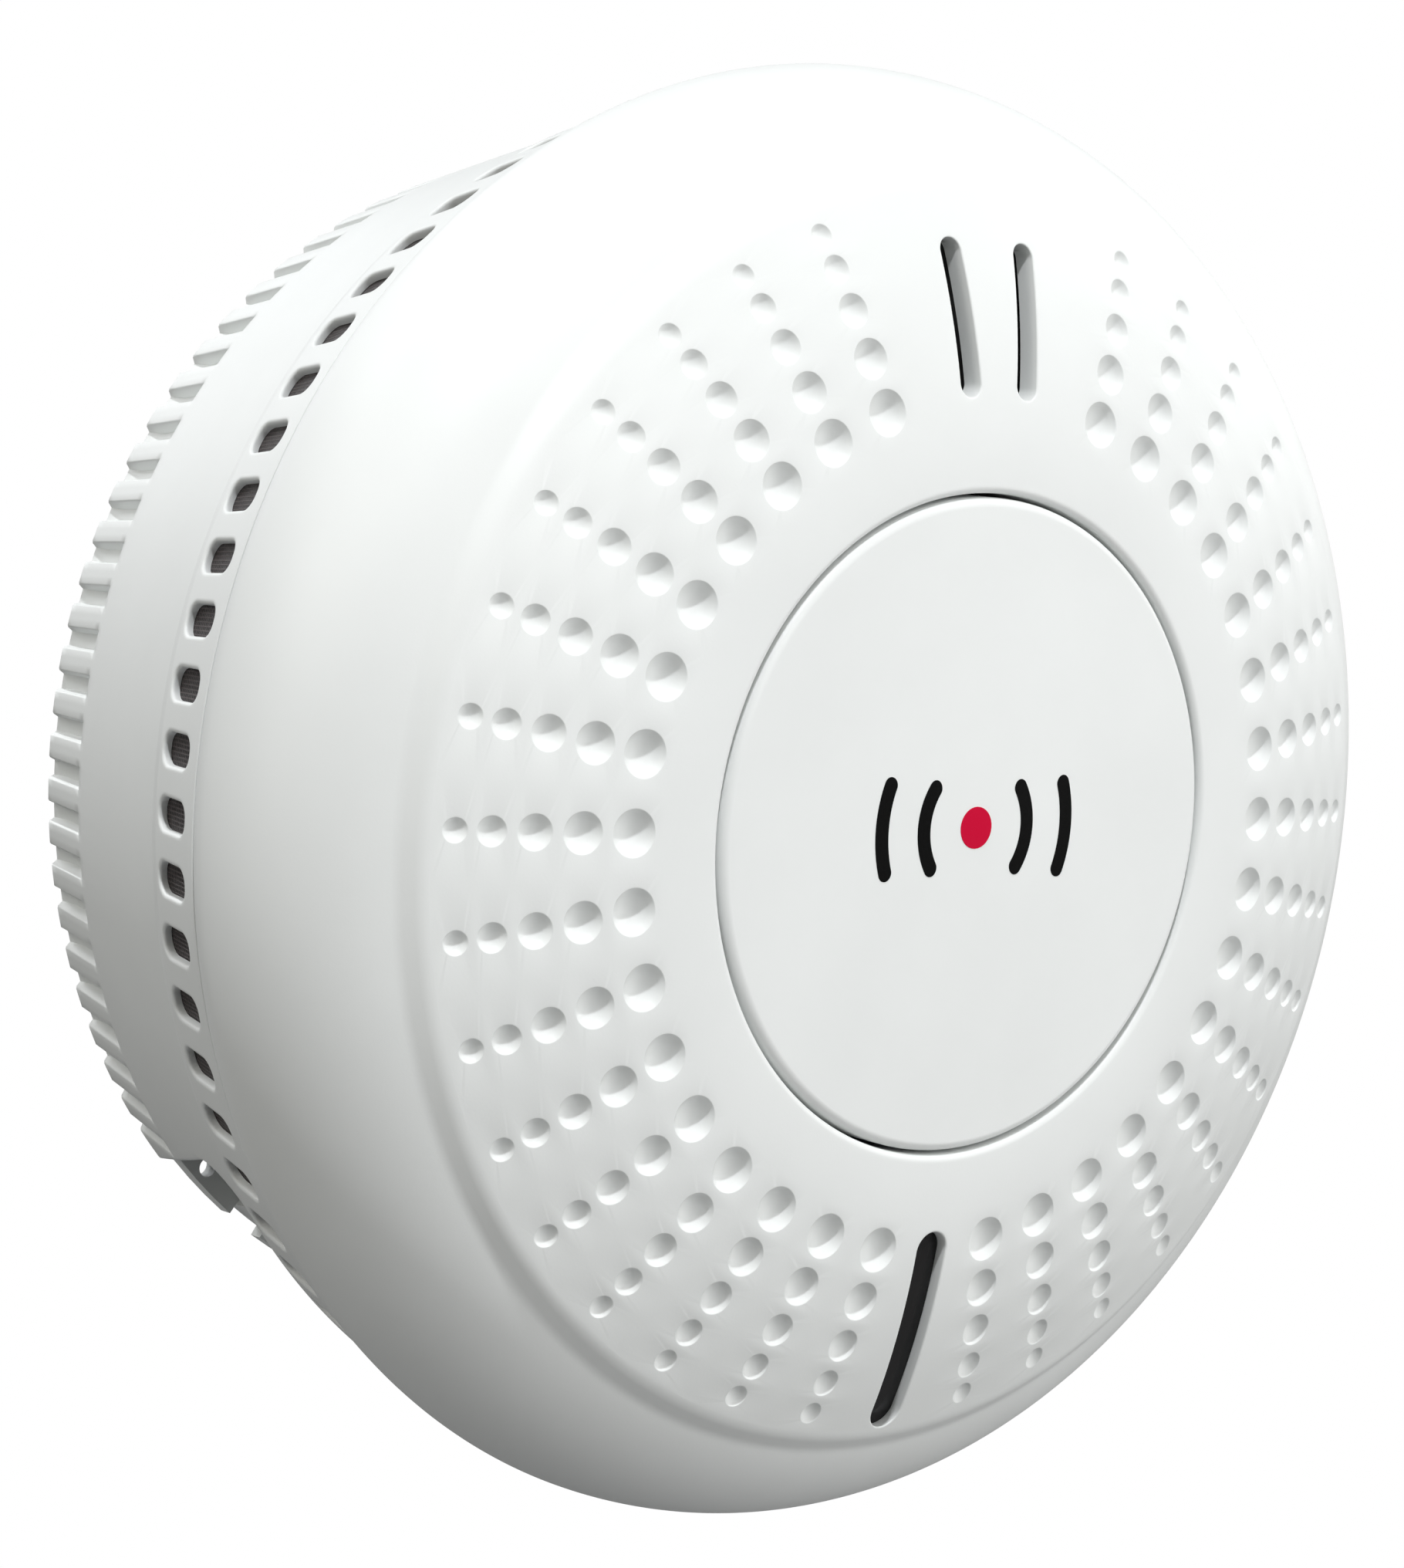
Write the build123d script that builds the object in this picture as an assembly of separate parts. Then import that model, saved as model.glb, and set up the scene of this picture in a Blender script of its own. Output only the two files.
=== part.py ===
from build123d import *
import os
from math import cos, radians, sin, sqrt

# A round wall-mounted carbon monoxide alarm.  Units are millimetres.
# The wall is the plane y = 0 and the alarm faces -Y.  "Depth" is the distance in front
# of the wall, so y = -depth.  Clock angles are seen from the front: 0 is +X, 90 is up.

# Front cover
COVER_RADIUS = 55.0        # widest point of the whole alarm
COVER_WALL = 2.0
WIDEST_DEPTH = 32.6
SEAM_RADIUS = 54.25
SEAM_DEPTH = 30.1
FACE_FLAT_RADIUS = 24.0    # inside this the face is flat
FACE_FRONT = 50.83         # depth of the flat part of the face
FACE_DOME_RADIUS = 54.5    # profile radius of the face outside the flat part
FACE_EDGE_RADIUS = 46.6
INNER_FACE_RIM = 45.4      # the inner surface is parallel to the face out to here
SHOULDER_RADIUS = 13.5     # profile radius of the rounded shoulder
SHOULDER_START = 47.7
COLLAR_RADIUS = 26.0
COLLAR_REAR = 44.0

# Decorative bowls in the face: radius of each ring of bowls, and the bowl diameter there
BOWL_RINGS = [(31.63, 3.42), (35.6, 3.0), (39.1, 2.58), (42.1, 2.16), (44.54, 1.78)]
BOWL_DEPTH_RATIO = 0.3     # depth over diameter
BOWL_PITCH = 10
BOWL_FREE_ANGLES = (80, 90, 100, 270)

# Slots through the face: clock angle, inner end, outer end, width
SOUND_SLOTS = [(94.8, 31.3, 42.7, 2.0), (84.7, 31.3, 42.7, 2.0)]
LENS_SLOT = (269.9, 30.2, 45.8, 2.9)

# Test button
BUTTON_HOLE_RADIUS = 24.35
BUTTON_GAP = 0.3
BUTTON_FRONT = FACE_FRONT + 0.1
BUTTON_CROWN = 51.5
BUTTON_EDGE = 0.7
BUTTON_UNDER = 48.9
BUTTON_REAR = 46.8
SKIRT_WALL = 1.45
HOOK_REAR = 42.9
LIP_RADIUS = 25.5
STEM_RADIUS = 3.6
HOOK_ANGLES = (30, 150, 270)

# Base shell
BASE_REAR = 0.5
BASE_REAR_RADIUS = 47.0
BAND_START = (51.8, 21.5)  # radius and depth where the drum ends
BAND_REAR = (52.3, 22.6)   # rear edge of the slightly proud vent band
BAND_FRONT = (54.1, 29.75)
BAND_WALL = 0.7            # thickness left round the vent windows
SCREEN_GROOVE = (22.9, 28.9)   # depths of the groove that holds the insect screen
SCREEN_THICKNESS = 0.4
BASE_WALL = 2.0
FLOOR_REAR = 8.5
FLOOR_FRONT = 10.5
PLATE_LEDGE = 2.4
TONGUE = (51.2, 52.7, 34.0)

# Vent windows and rim flutes
WINDOW_COUNT = 72
WINDOW_ANGLE = 1.75
WINDOW_WIDTH = 2.35
WINDOW_LENGTH = 4.8
WINDOW_DEPTH = 25.6
WINDOW_CORNER = 1.05
FLUTE_COUNT = 90
FLUTE_ANGLE = 1.5
FLUTE_WIDTH = 1.2
FLUTE_CUT = 1.0
FLUTE_FRONT = 6.9
FLUTE_FREE = (218, 252)    # clock angles without flutes, across the side opening

# Side opening at the lower left of the drum and its pocket.  Widths are measured from
# OPENING_ANGLE: the upper side narrows towards the wall and the lower side runs straight.
OPENING_ANGLE = 230
OPENING_FRONT = 21.5
OPENING_UPPER = 13.4
OPENING_LOWER = 15.0
OPENING_WIDEST = 16.0      # depth where the upper side reaches its full width
OPENING_NECK = 5.2         # upper width at the wall
OPENING_CORNER = 4.0
POCKET_WALL = 1.6
POCKET_INNER = 37.5        # distance of the pocket's inner wall from the axis

# Mounting plate and its bayonet
PLATE_RADIUS = 46.0
PLATE_THICKNESS = 2.0
PLATE_EDGE = 1.2
SCREW_SPACING = 60.0
SLOT_WIDTH = 4.6
SLOT_LENGTH = 11.0
HOLE_RADIUS = 2.3
BAYONET_ANGLES = (20, 140, 260)
BAYONET_HALF_ANGLE = 7.5
HOOK_DEPTH = 7.4
PLATE_WINDOWS = (90, 210, 330)
WINDOW_SECTOR = (10.5, 21.5, 42)   # inner radius, outer radius, half angle
RIM_WALL = (43.6, 45.15, 6.0)      # short upright wall at the rim: inner, outer radius, height
RIM_WALL_SECTOR = (239.5, 7.5)     # its middle clock angle and half angle
NOTCH_SECTOR = (234.3, 2.3)        # gap beside the tab that carries the pin hole
PIN_HOLE = (44.7, 226.6, 0.75)      # eye for a locking pin: radius out, clock angle, hole radius

# Circuit board
PCB_REAR = 36.4
PCB_FRONT = 38.0
PCB_RADIUS = 40.2
POST_CENTRES = [(33.8, 12.3), (-33.8, 12.3), (24.1, -26.8)]
POST_RADIUS = 2.8
CASE_SCREW_ANGLES = (60, 180, 300)
CASE_SCREW_CIRCLE = 43.5
BOSS_RADIUS = 2.8

# Sounder, switch, sensor and cell
SOUNDER_Z = 36.0
SOUNDER_RADIUS = 11.5
SOUNDER_REAR = 33.0
SOUNDER_FRONT = 42.0
SWITCH_SIZE = 6.0
SWITCH_FRONT = 41.5
PLUNGER_RADIUS = 1.75
PLUNGER_FRONT = 44.3
SPRING_RADIUS = 5.6
SPRING_WIRE = 0.6
SENSOR = (27.0, -4.0, 10.0)   # x, z, radius
SENSOR_REAR = 19.4
SENSOR_FRONT = 35.9
CELL_RADIUS = 8.5
CELL_DEPTH = 25.0
CELL_Z = -17.0
CELL_ENDS = (-23.0, 10.0)
LED_POSITIONS = {"led_green": -31.5, "led_amber": -35.0, "led_red": -38.5}


# ---------------------------------------------------------------- helpers

def polar(radius, angle, depth):
    """Point at a radius and clock angle, a depth in front of the wall."""
    return Vector(radius * cos(radians(angle)), -depth, radius * sin(radians(angle)))


def facing(depth):
    """Plane parallel to the wall: local x is X, local y is Z, its normal points at the room."""
    return Plane((0, -depth, 0), x_dir=(1, 0, 0), z_dir=(0, -1, 0))


def prism(sketch, rear, front):
    """Sketch drawn as seen from the front, made solid between two depths."""
    return extrude(facing(rear) * sketch, amount=front - rear)


def rod(x, z, radius, rear, front):
    return prism(Pos(x, z) * Circle(radius), rear, front)


def tube(x, z, outer, inner, rear, front):
    return prism(Pos(x, z) * (Circle(outer) - Circle(inner)), rear, front)


def block(x0, x1, z0, z1, rear, front):
    return prism(Pos((x0 + x1) / 2, (z0 + z1) / 2) * Rectangle(x1 - x0, z1 - z0), rear, front)


def sector(inner, outer, centre, half_angle):
    """Flat piece of a ring, half_angle to each side of a clock angle."""
    start = centre - half_angle
    outer_arc = CenterArc((0, 0), outer, start, 2 * half_angle)
    inner_arc = CenterArc((0, 0), inner, start, 2 * half_angle)
    sides = [Line(inner_arc @ 0, outer_arc @ 0), Line(inner_arc @ 1, outer_arc @ 1)]
    return make_face([outer_arc, inner_arc] + sides)


def outline(*points):
    """Straight edges through (radius, depth) points, in the plane that is turned."""
    return Polyline(*[(radius, -depth) for radius, depth in points])


def arc(start, middle, end):
    """Arc through three (radius, depth) points."""
    return ThreePointArc(*[(radius, -depth) for radius, depth in (start, middle, end)])


def turned(*edges):
    """Solid of revolution about the alarm's axis."""
    return revolve(make_face(edges), axis=Axis.Y)


def turned_polygon(*points):
    return turned(outline(*points, points[0]))


def radial_slot(angle, inner, outer, width):
    """Round-ended slot lying along a radius."""
    middle = (inner + outer) / 2
    return Rot(0, 0, angle) * Pos(middle, 0) * SlotOverall(outer - inner, width)


def face_depth(radius, inset=0.0):
    """Depth of the domed face at a radius, or of a surface inset behind it."""
    run = max(radius - FACE_FLAT_RADIUS, 0)
    return FACE_FRONT - FACE_DOME_RADIUS + sqrt((FACE_DOME_RADIUS - inset) ** 2 - run ** 2)


def face_point(radius, inset=0.0):
    return (radius, face_depth(radius, inset))


def face_arc(start, end, inset=0.0):
    middle = (start + end) / 2
    return arc(face_point(start, inset), face_point(middle, inset), face_point(end, inset))


def shoulder_point(radius, inset=0.0):
    """Point of the rounded shoulder at a radius, or of a surface inset behind it."""
    run = radius - (COVER_RADIUS - SHOULDER_RADIUS)
    return (radius, WIDEST_DEPTH + sqrt((SHOULDER_RADIUS - inset) ** 2 - run ** 2))


def under_face(inset, rim=FACE_EDGE_RADIUS):
    """Everything behind the face out to a rim radius, stopping an inset behind its surface."""
    flat_edge = face_point(FACE_FLAT_RADIUS, inset)
    front_edge = face_point(rim, inset)
    back = outline(front_edge, (rim, 0), (0, 0), (0, flat_edge[1]), flat_edge)
    return turned(face_arc(FACE_FLAT_RADIUS, rim, inset), back)


# ---------------------------------------------------------------- front cover

def cover_shell():
    """Domed face, soft step, rounded shoulder and the collar that guides the button."""
    lip = 0.5
    mouth = face_point(BUTTON_HOLE_RADIUS + lip)
    lip_rear = (BUTTON_HOLE_RADIUS, mouth[1] - lip)
    lip_middle = (mouth[0] - lip * cos(radians(45)), lip_rear[1] + lip * sin(radians(45)))
    step_front = face_point(FACE_EDGE_RADIUS)
    step_rear = shoulder_point(SHOULDER_START)
    widest = (COVER_RADIUS, WIDEST_DEPTH)
    seam = (SEAM_RADIUS, SEAM_DEPTH)
    roll_middle = (COVER_RADIUS - 0.19, WIDEST_DEPTH - 1.3)
    inner_wall = COVER_RADIUS - COVER_WALL
    inner_shoulder = shoulder_point(FACE_EDGE_RADIUS, COVER_WALL)
    inner_face = face_point(INNER_FACE_RIM + 0.1, COVER_WALL)
    inner_collar = face_point(COLLAR_RADIUS, COVER_WALL)
    return turned(
        arc(lip_rear, lip_middle, mouth),
        face_arc(mouth[0], FACE_EDGE_RADIUS),
        outline(step_front, step_rear),
        arc(step_rear, shoulder_point(52.3), widest),
        arc(widest, roll_middle, seam),
        outline(seam, (inner_wall, SEAM_DEPTH), (inner_wall, WIDEST_DEPTH)),
        arc((inner_wall, WIDEST_DEPTH), shoulder_point(51.0, COVER_WALL), inner_shoulder),
        outline(inner_shoulder, inner_face),
        face_arc(inner_face[0], COLLAR_RADIUS, COVER_WALL),
        outline(inner_collar, (COLLAR_RADIUS, COLLAR_REAR), (BUTTON_HOLE_RADIUS, COLLAR_REAR), lip_rear),
    )


def bowl(radius, diameter, angle):
    """Ball that cuts one bowl, its centre out along the face's normal."""
    half = diameter / 2
    depth = BOWL_DEPTH_RATIO * diameter
    ball = (half ** 2 + depth ** 2) / (2 * depth)
    lift = ball - depth
    slope = (radius - FACE_FLAT_RADIUS) / FACE_DOME_RADIUS
    centre = polar(radius + lift * slope, angle, face_depth(radius) + lift * sqrt(1 - slope ** 2))
    return Pos(centre) * Sphere(ball)


def front_cover():
    bosses = [
        rod(*cover_boss_centre(angle), BOSS_RADIUS, FLOOR_FRONT + 0.1, FACE_FRONT) & under_face(1.0)
        for angle in CASE_SCREW_ANGLES
    ]
    pilots = [rod(*cover_boss_centre(angle), 1.45, FLOOR_FRONT, 22) for angle in CASE_SCREW_ANGLES]
    angles = [a for a in range(0, 360, BOWL_PITCH) if a not in BOWL_FREE_ANGLES]
    bowls = [bowl(radius, diameter, a) for radius, diameter in BOWL_RINGS for a in angles]
    slots = [prism(radial_slot(*slot), COLLAR_REAR - 6, FACE_FRONT) for slot in SOUND_SLOTS + [LENS_SLOT]]
    return (cover_shell() + bosses) - (pilots + slots + bowls)


def cover_boss_centre(angle):
    centre = polar(CASE_SCREW_CIRCLE, angle, 0)
    return centre.X, centre.Z


# ---------------------------------------------------------------- base shell

def drum_radius(depth):
    """Outer radius of the tapered drum."""
    taper = (BAND_START[0] - BASE_REAR_RADIUS) / (BAND_START[1] - BASE_REAR)
    return BASE_REAR_RADIUS + taper * (depth - BASE_REAR)


def band_inner_radius(depth):
    """Bottom of the groove behind the vent windows."""
    taper = (BAND_FRONT[0] - BAND_REAR[0]) / (BAND_FRONT[1] - BAND_REAR[1])
    return BAND_REAR[0] + taper * (depth - BAND_REAR[1]) - BAND_WALL


def base_body():
    """Tapered drum with its floor, the vent band, the tongue and the ledge for the plate."""
    tongue_inner, tongue_outer, tongue_front = TONGUE
    groove_rear, groove_front = SCREEN_GROOVE
    return turned_polygon(
        (BASE_REAR_RADIUS, BASE_REAR),
        BAND_START,
        BAND_REAR,
        BAND_FRONT,
        (SEAM_RADIUS - 0.45, SEAM_DEPTH - 0.15),
        (tongue_outer, SEAM_DEPTH - 0.15),
        (tongue_outer, tongue_front),
        (tongue_inner, tongue_front),
        (tongue_inner, groove_front),
        (band_inner_radius(groove_front), groove_front),
        (band_inner_radius(groove_rear), groove_rear),
        (drum_radius(groove_rear) - BASE_WALL, groove_rear),
        (drum_radius(FLOOR_FRONT) - BASE_WALL, FLOOR_FRONT),
        (0, FLOOR_FRONT),
        (0, FLOOR_REAR),
        (drum_radius(FLOOR_REAR) - BASE_WALL, FLOOR_REAR),
        (drum_radius(PLATE_LEDGE) - BASE_WALL, PLATE_LEDGE),
        (PLATE_RADIUS + 0.3, PLATE_LEDGE),
        (PLATE_RADIUS + 0.3, BASE_REAR),
    )


def windows():
    """Cutters for the ring of vent windows, each square to the band."""
    cutters = []
    for index in range(WINDOW_COUNT):
        angle = WINDOW_ANGLE + index * 360 / WINDOW_COUNT
        outward = polar(1, angle, 0)
        plane = Plane(polar(TONGUE[0] - 1, angle, WINDOW_DEPTH), x_dir=(0, 1, 0), z_dir=outward)
        shape = RectangleRounded(WINDOW_LENGTH, WINDOW_WIDTH, WINDOW_CORNER)
        cutters.append(extrude(plane * shape, amount=5))
    return cutters


def vent_screen():
    """Insect screen lying in the groove behind the vent windows."""
    rear, front = OPENING_FRONT + POCKET_WALL + 0.05, SCREEN_GROOVE[1] - 0.05
    outer_rear = band_inner_radius(rear) - 0.02
    outer_front = band_inner_radius(front) - 0.02
    return turned_polygon(
        (outer_rear, rear),
        (outer_front, front),
        (outer_front - SCREEN_THICKNESS, front),
        (outer_rear - SCREEN_THICKNESS, rear),
    )


def flutes():
    """Cutters for the grip flutes around the rear rim, none across the side opening."""
    rear = BASE_REAR - 0.2
    floor = outline(
        (drum_radius(rear) - FLUTE_CUT, rear),
        (drum_radius(FLUTE_FRONT) - FLUTE_CUT, FLUTE_FRONT),
        (COVER_RADIUS, FLUTE_FRONT),
        (COVER_RADIUS, rear),
        (drum_radius(rear) - FLUTE_CUT, rear),
    )
    cutter = extrude(make_face(floor), amount=FLUTE_WIDTH / 2, both=True)
    angles = [FLUTE_ANGLE + index * 360 / FLUTE_COUNT for index in range(FLUTE_COUNT)]
    return [Rot(0, -angle, 0) * cutter for angle in angles if not FLUTE_FREE[0] < angle < FLUTE_FREE[1]]


def side_opening(grow=0.0):
    """Outline of the side opening, drawn as (depth, width), larger by grow all round."""
    front = OPENING_FRONT + grow
    upper = [(-1, OPENING_NECK + grow), (OPENING_WIDEST, OPENING_UPPER + grow), (front, OPENING_UPPER + grow)]
    lower = [(front, -OPENING_LOWER - grow), (-1, -OPENING_LOWER - grow)]
    corners = upper + lower
    face = make_face(Polyline(*corners, corners[0]))
    rounded = [v for v in face.vertices() if v.X > 0]
    return fillet(rounded, OPENING_CORNER + grow)


def side_cut(inner, grow=0.0):
    """The side opening's outline made solid, from a distance off the axis outwards."""
    outward = polar(1, OPENING_ANGLE, 0)
    plane = Plane(outward * inner, x_dir=(0, -1, 0), z_dir=outward)
    return extrude(plane * side_opening(grow), amount=COVER_RADIUS + 5 - inner)


def pocket():
    """Walls behind the side opening that keep it apart from the electronics."""
    front = OPENING_FRONT + POCKET_WALL
    drum = turned_polygon(
        (0, FLOOR_REAR + 0.5),
        (drum_radius(FLOOR_REAR) - 1, FLOOR_REAR + 0.5),
        (drum_radius(front) - 1, front),
        (0, front),
    )
    return side_cut(POCKET_INNER - POCKET_WALL, POCKET_WALL) & drum


def base_shell():
    lugs = [
        prism(sector(41.3, 46.3, angle, BAYONET_HALF_ANGLE), 4.0, 5.6) for angle in BAYONET_ANGLES
    ]
    posts = [rod(x, z, POST_RADIUS, FLOOR_FRONT - 0.5, PCB_REAR) for x, z in POST_CENTRES]
    post_holes = [rod(x, z, 1.2, 27, PCB_REAR + 1) for x, z in POST_CENTRES]
    screw_holes = [
        rod(*cover_boss_centre(angle), 1.6, FLOOR_REAR - 1, FLOOR_FRONT + 1) for angle in CASE_SCREW_ANGLES
    ]
    solid = base_body() + [pocket()] + lugs + posts
    cavity = side_cut(POCKET_INNER)
    return solid - (windows() + flutes() + [cavity] + post_holes + screw_holes)


# ---------------------------------------------------------------- mounting plate

def bayonet_hook(angle):
    """Hook that holds one lug of the base, with a stop at its clockwise end."""
    stem = prism(sector(39.4, 40.9, angle, BAYONET_HALF_ANGLE + 0.4), PLATE_THICKNESS - 0.2, HOOK_DEPTH)
    lip = prism(sector(39.4, 43.6, angle, BAYONET_HALF_ANGLE + 0.4), HOOK_DEPTH - 1.45, HOOK_DEPTH)
    stop_angle = angle - BAYONET_HALF_ANGLE - 1.1
    stop = prism(sector(39.4, 43.1, stop_angle, 0.7), PLATE_THICKNESS - 0.2, HOOK_DEPTH)
    return stem + lip + stop


def mounting_plate():
    disc = turned_polygon(
        (0, 0),
        (PLATE_RADIUS, 0),
        (PLATE_RADIUS, PLATE_EDGE),
        (43.2, PLATE_EDGE),
        (43.2, PLATE_THICKNESS),
        (0, PLATE_THICKNESS),
    )
    hooks = [bayonet_hook(angle) for angle in BAYONET_ANGLES]
    rib = tube(0, 0, 38.8, 37.5, PLATE_THICKNESS - 0.2, 4.6)
    half = SCREW_SPACING / 2
    slots = [Pos(side * half, 0) * SlotOverall(SLOT_LENGTH, SLOT_WIDTH) for side in (-1, 1)]
    holes = [Pos(0, side * half) * Circle(HOLE_RADIUS) for side in (-1, 1)]
    inner, outer, half_angle = WINDOW_SECTOR
    openings = [sector(inner, outer, angle, half_angle) for angle in PLATE_WINDOWS]
    wall_inner, wall_outer, wall_height = RIM_WALL
    wall = prism(sector(wall_inner, wall_outer, *RIM_WALL_SECTOR), 0, wall_height)
    notch = sector(wall_outer, PLATE_RADIUS + 1, *NOTCH_SECTOR)
    pin_out, pin_angle, pin_radius = PIN_HOLE
    pin_centre = polar(pin_out, pin_angle, 0)
    pin_hole = Pos(pin_centre.X, pin_centre.Z) * Circle(pin_radius)
    cuts = [prism(shape, -1, 5) for shape in slots + holes + openings + [notch, pin_hole]]
    return (disc + [rib, wall] + hooks) - cuts


# ---------------------------------------------------------------- button and switch

def button_cap():
    """Disc with a rounded edge on a short skirt, cut to a very slightly domed crown."""
    outer = BUTTON_HOLE_RADIUS - BUTTON_GAP
    inner = outer - SKIRT_WALL
    edge_front = (outer - BUTTON_EDGE, BUTTON_FRONT)
    edge_rear = (outer, BUTTON_FRONT - BUTTON_EDGE)
    edge_middle = (outer - 0.3 * BUTTON_EDGE, BUTTON_FRONT - 0.3 * BUTTON_EDGE)
    blank = turned(
        arc(edge_rear, edge_middle, edge_front),
        outline(edge_front, (edge_front[0], BUTTON_CROWN + 1), (0, BUTTON_CROWN + 1), (0, BUTTON_UNDER),
                (inner, BUTTON_UNDER), (inner, BUTTON_REAR), (outer, BUTTON_REAR), edge_rear),
    )
    rise = BUTTON_CROWN - BUTTON_FRONT
    crown_radius = (edge_front[0] ** 2 + rise ** 2) / (2 * rise)
    return blank & (Pos(0, crown_radius - BUTTON_CROWN, 0) * Sphere(crown_radius))


def snap_hook(angle):
    """Arm down from the skirt with a lip that catches behind the cover's collar."""
    outer = BUTTON_HOLE_RADIUS - BUTTON_GAP
    arm = prism(sector(outer - SKIRT_WALL + 0.1, outer - 0.1, angle, 7), HOOK_REAR, BUTTON_REAR + 1)
    lip = prism(sector(outer - 0.6, LIP_RADIUS, angle, 6.8), HOOK_REAR, COLLAR_REAR - 0.2)
    return arm + lip


def test_button():
    """Cap with a stem for the switch and three snap hooks."""
    stem = rod(0, 0, STEM_RADIUS, PLUNGER_FRONT + 0.05, BUTTON_UNDER + 1)
    return button_cap() + [stem] + [snap_hook(angle) for angle in HOOK_ANGLES]


def button_spring():
    """Compression spring around the stem, from the circuit board to the button."""
    rear = PCB_FRONT + SPRING_WIRE / 2 + 0.02
    front = BUTTON_UNDER - SPRING_WIRE / 2 - 0.02
    coil = Helix(pitch=(front - rear) / 5.5, height=front - rear, radius=SPRING_RADIUS)
    section = Plane(coil @ 0, z_dir=coil % 0) * Circle(SPRING_WIRE / 2)
    return Plane((0, -rear, 0), z_dir=(0, -1, 0)) * sweep(section, path=coil)


def switch_body():
    half = SWITCH_SIZE / 2
    case = block(-half, half, -half, half, PCB_FRONT, SWITCH_FRONT)
    case = chamfer(case.edges().filter_by(Axis.Y), 0.4)
    return case - rod(0, 0, PLUNGER_RADIUS + 0.05, PCB_FRONT + 0.3, SWITCH_FRONT + 1)


def switch_plunger():
    plunger = rod(0, 0, PLUNGER_RADIUS, PCB_FRONT + 1.6, PLUNGER_FRONT)
    return chamfer(plunger.edges().filter_by(GeomType.CIRCLE), 0.2)


# ---------------------------------------------------------------- board and lights

def main_pcb():
    board = Circle(PCB_RADIUS) - Pos(0, SOUNDER_Z) * Circle(SOUNDER_RADIUS + 0.3)
    holes = [Pos(x, z) * Circle(1.5) for x, z in POST_CENTRES]
    pins = [Pos(x, z) * Circle(0.55) for x, z in sensor_pin_centres()]
    return prism(board - holes - pins, PCB_REAR, PCB_FRONT)


def screw(x, z, shank_radius, head_radius, tip, head_rear, head_front):
    """Pan-head screw lying along the depth, its head between two depths."""
    head = rod(x, z, head_radius, head_rear, head_front)
    outer = head_front if tip < head_rear else head_rear
    head = chamfer([e for e in head.edges() if abs(e.center().Y + outer) < 0.01], 0.4)
    shank = rod(x, z, shank_radius, min(tip, head_rear), max(tip, head_front) - 0.001)
    recess = Pos(x, z) * (Rectangle(2.6, 0.6) + Rectangle(0.6, 2.6))
    slot = prism(recess, outer - 0.9, outer + 0.9)
    return (head + shank) - slot


def pcb_screws():
    return Compound([screw(x, z, 1.18, 2.4, 29.0, PCB_FRONT, PCB_FRONT + 1.5) for x, z in POST_CENTRES])


def case_screws():
    return Compound([
        screw(*cover_boss_centre(angle), 1.43, 2.6, 20.0, FLOOR_REAR - 1.8, FLOOR_REAR)
        for angle in CASE_SCREW_ANGLES
    ])


def led(z):
    """Round 3 mm lamp with its flange and domed end."""
    flange = rod(0, z, 1.7, PCB_FRONT, PCB_FRONT + 0.8)
    barrel = rod(0, z, 1.5, PCB_FRONT, PCB_FRONT + 3.6)
    dome = Pos(0, -(PCB_FRONT + 3.6), z) * Sphere(1.5)
    return flange + barrel + dome


def status_lens():
    """Smoked lens recessed in the lower slot, with a flange behind the cover."""
    angle, inner, outer, width = LENS_SLOT
    window = prism(radial_slot(angle, inner + 0.05, outer - 0.05, width - 0.1), COLLAR_REAR - 6, FACE_FRONT)
    flange = prism(radial_slot(angle, inner - 1.2, outer + 0.6, width + 2.4), COLLAR_REAR - 6, FACE_FRONT)
    front = window & (under_face(0.9) - under_face(2.6))
    rear = flange & (under_face(COVER_WALL + 0.05, INNER_FACE_RIM) - under_face(3.2))
    return front + rear


def led_shroud():
    """Black chimney from the circuit board to the lens."""
    angle, inner, outer, width = LENS_SLOT
    chimney = radial_slot(angle, inner - 1.4, outer + 0.4, width + 3.2)
    bore = radial_slot(angle, inner - 0.4, outer - 0.6, width + 1.2)
    return prism(chimney - bore, PCB_FRONT, FACE_FRONT) & under_face(3.25, INNER_FACE_RIM)


def microcontroller():
    return chamfer(block(-17.5, -10.5, 4.5, 11.5, PCB_FRONT, PCB_FRONT + 1.2).edges(), 0.15)


def capacitor():
    can = rod(-28, 2, 4.0, 24.4, PCB_REAR)
    return chamfer([e for e in can.edges() if abs(e.center().Y + 24.4) < 0.01], 0.5)


def transformer():
    """Drum-core coil that drives the sounder."""
    x, z = 18, 22
    flanges = rod(x, z, 5.0, PCB_REAR - 11, PCB_REAR - 9.4) + rod(x, z, 5.0, PCB_REAR - 1.6, PCB_REAR)
    return flanges + rod(x, z, 4.4, PCB_REAR - 10, PCB_REAR - 1)


# ---------------------------------------------------------------- sounder

def sounder_housing():
    cup = rod(0, SOUNDER_Z, SOUNDER_RADIUS, SOUNDER_REAR, SOUNDER_FRONT - 1.0)
    flange = tube(0, SOUNDER_Z, SOUNDER_RADIUS + 1.4, SOUNDER_RADIUS - 0.5, PCB_FRONT, PCB_FRONT + 1.1)
    seat = rod(0, SOUNDER_Z, SOUNDER_RADIUS - 1.2, 37.0, SOUNDER_FRONT)
    chamber = rod(0, SOUNDER_Z, SOUNDER_RADIUS - 2.4, SOUNDER_REAR + 1.2, SOUNDER_FRONT)
    return (cup + flange) - (seat + chamber)


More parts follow.
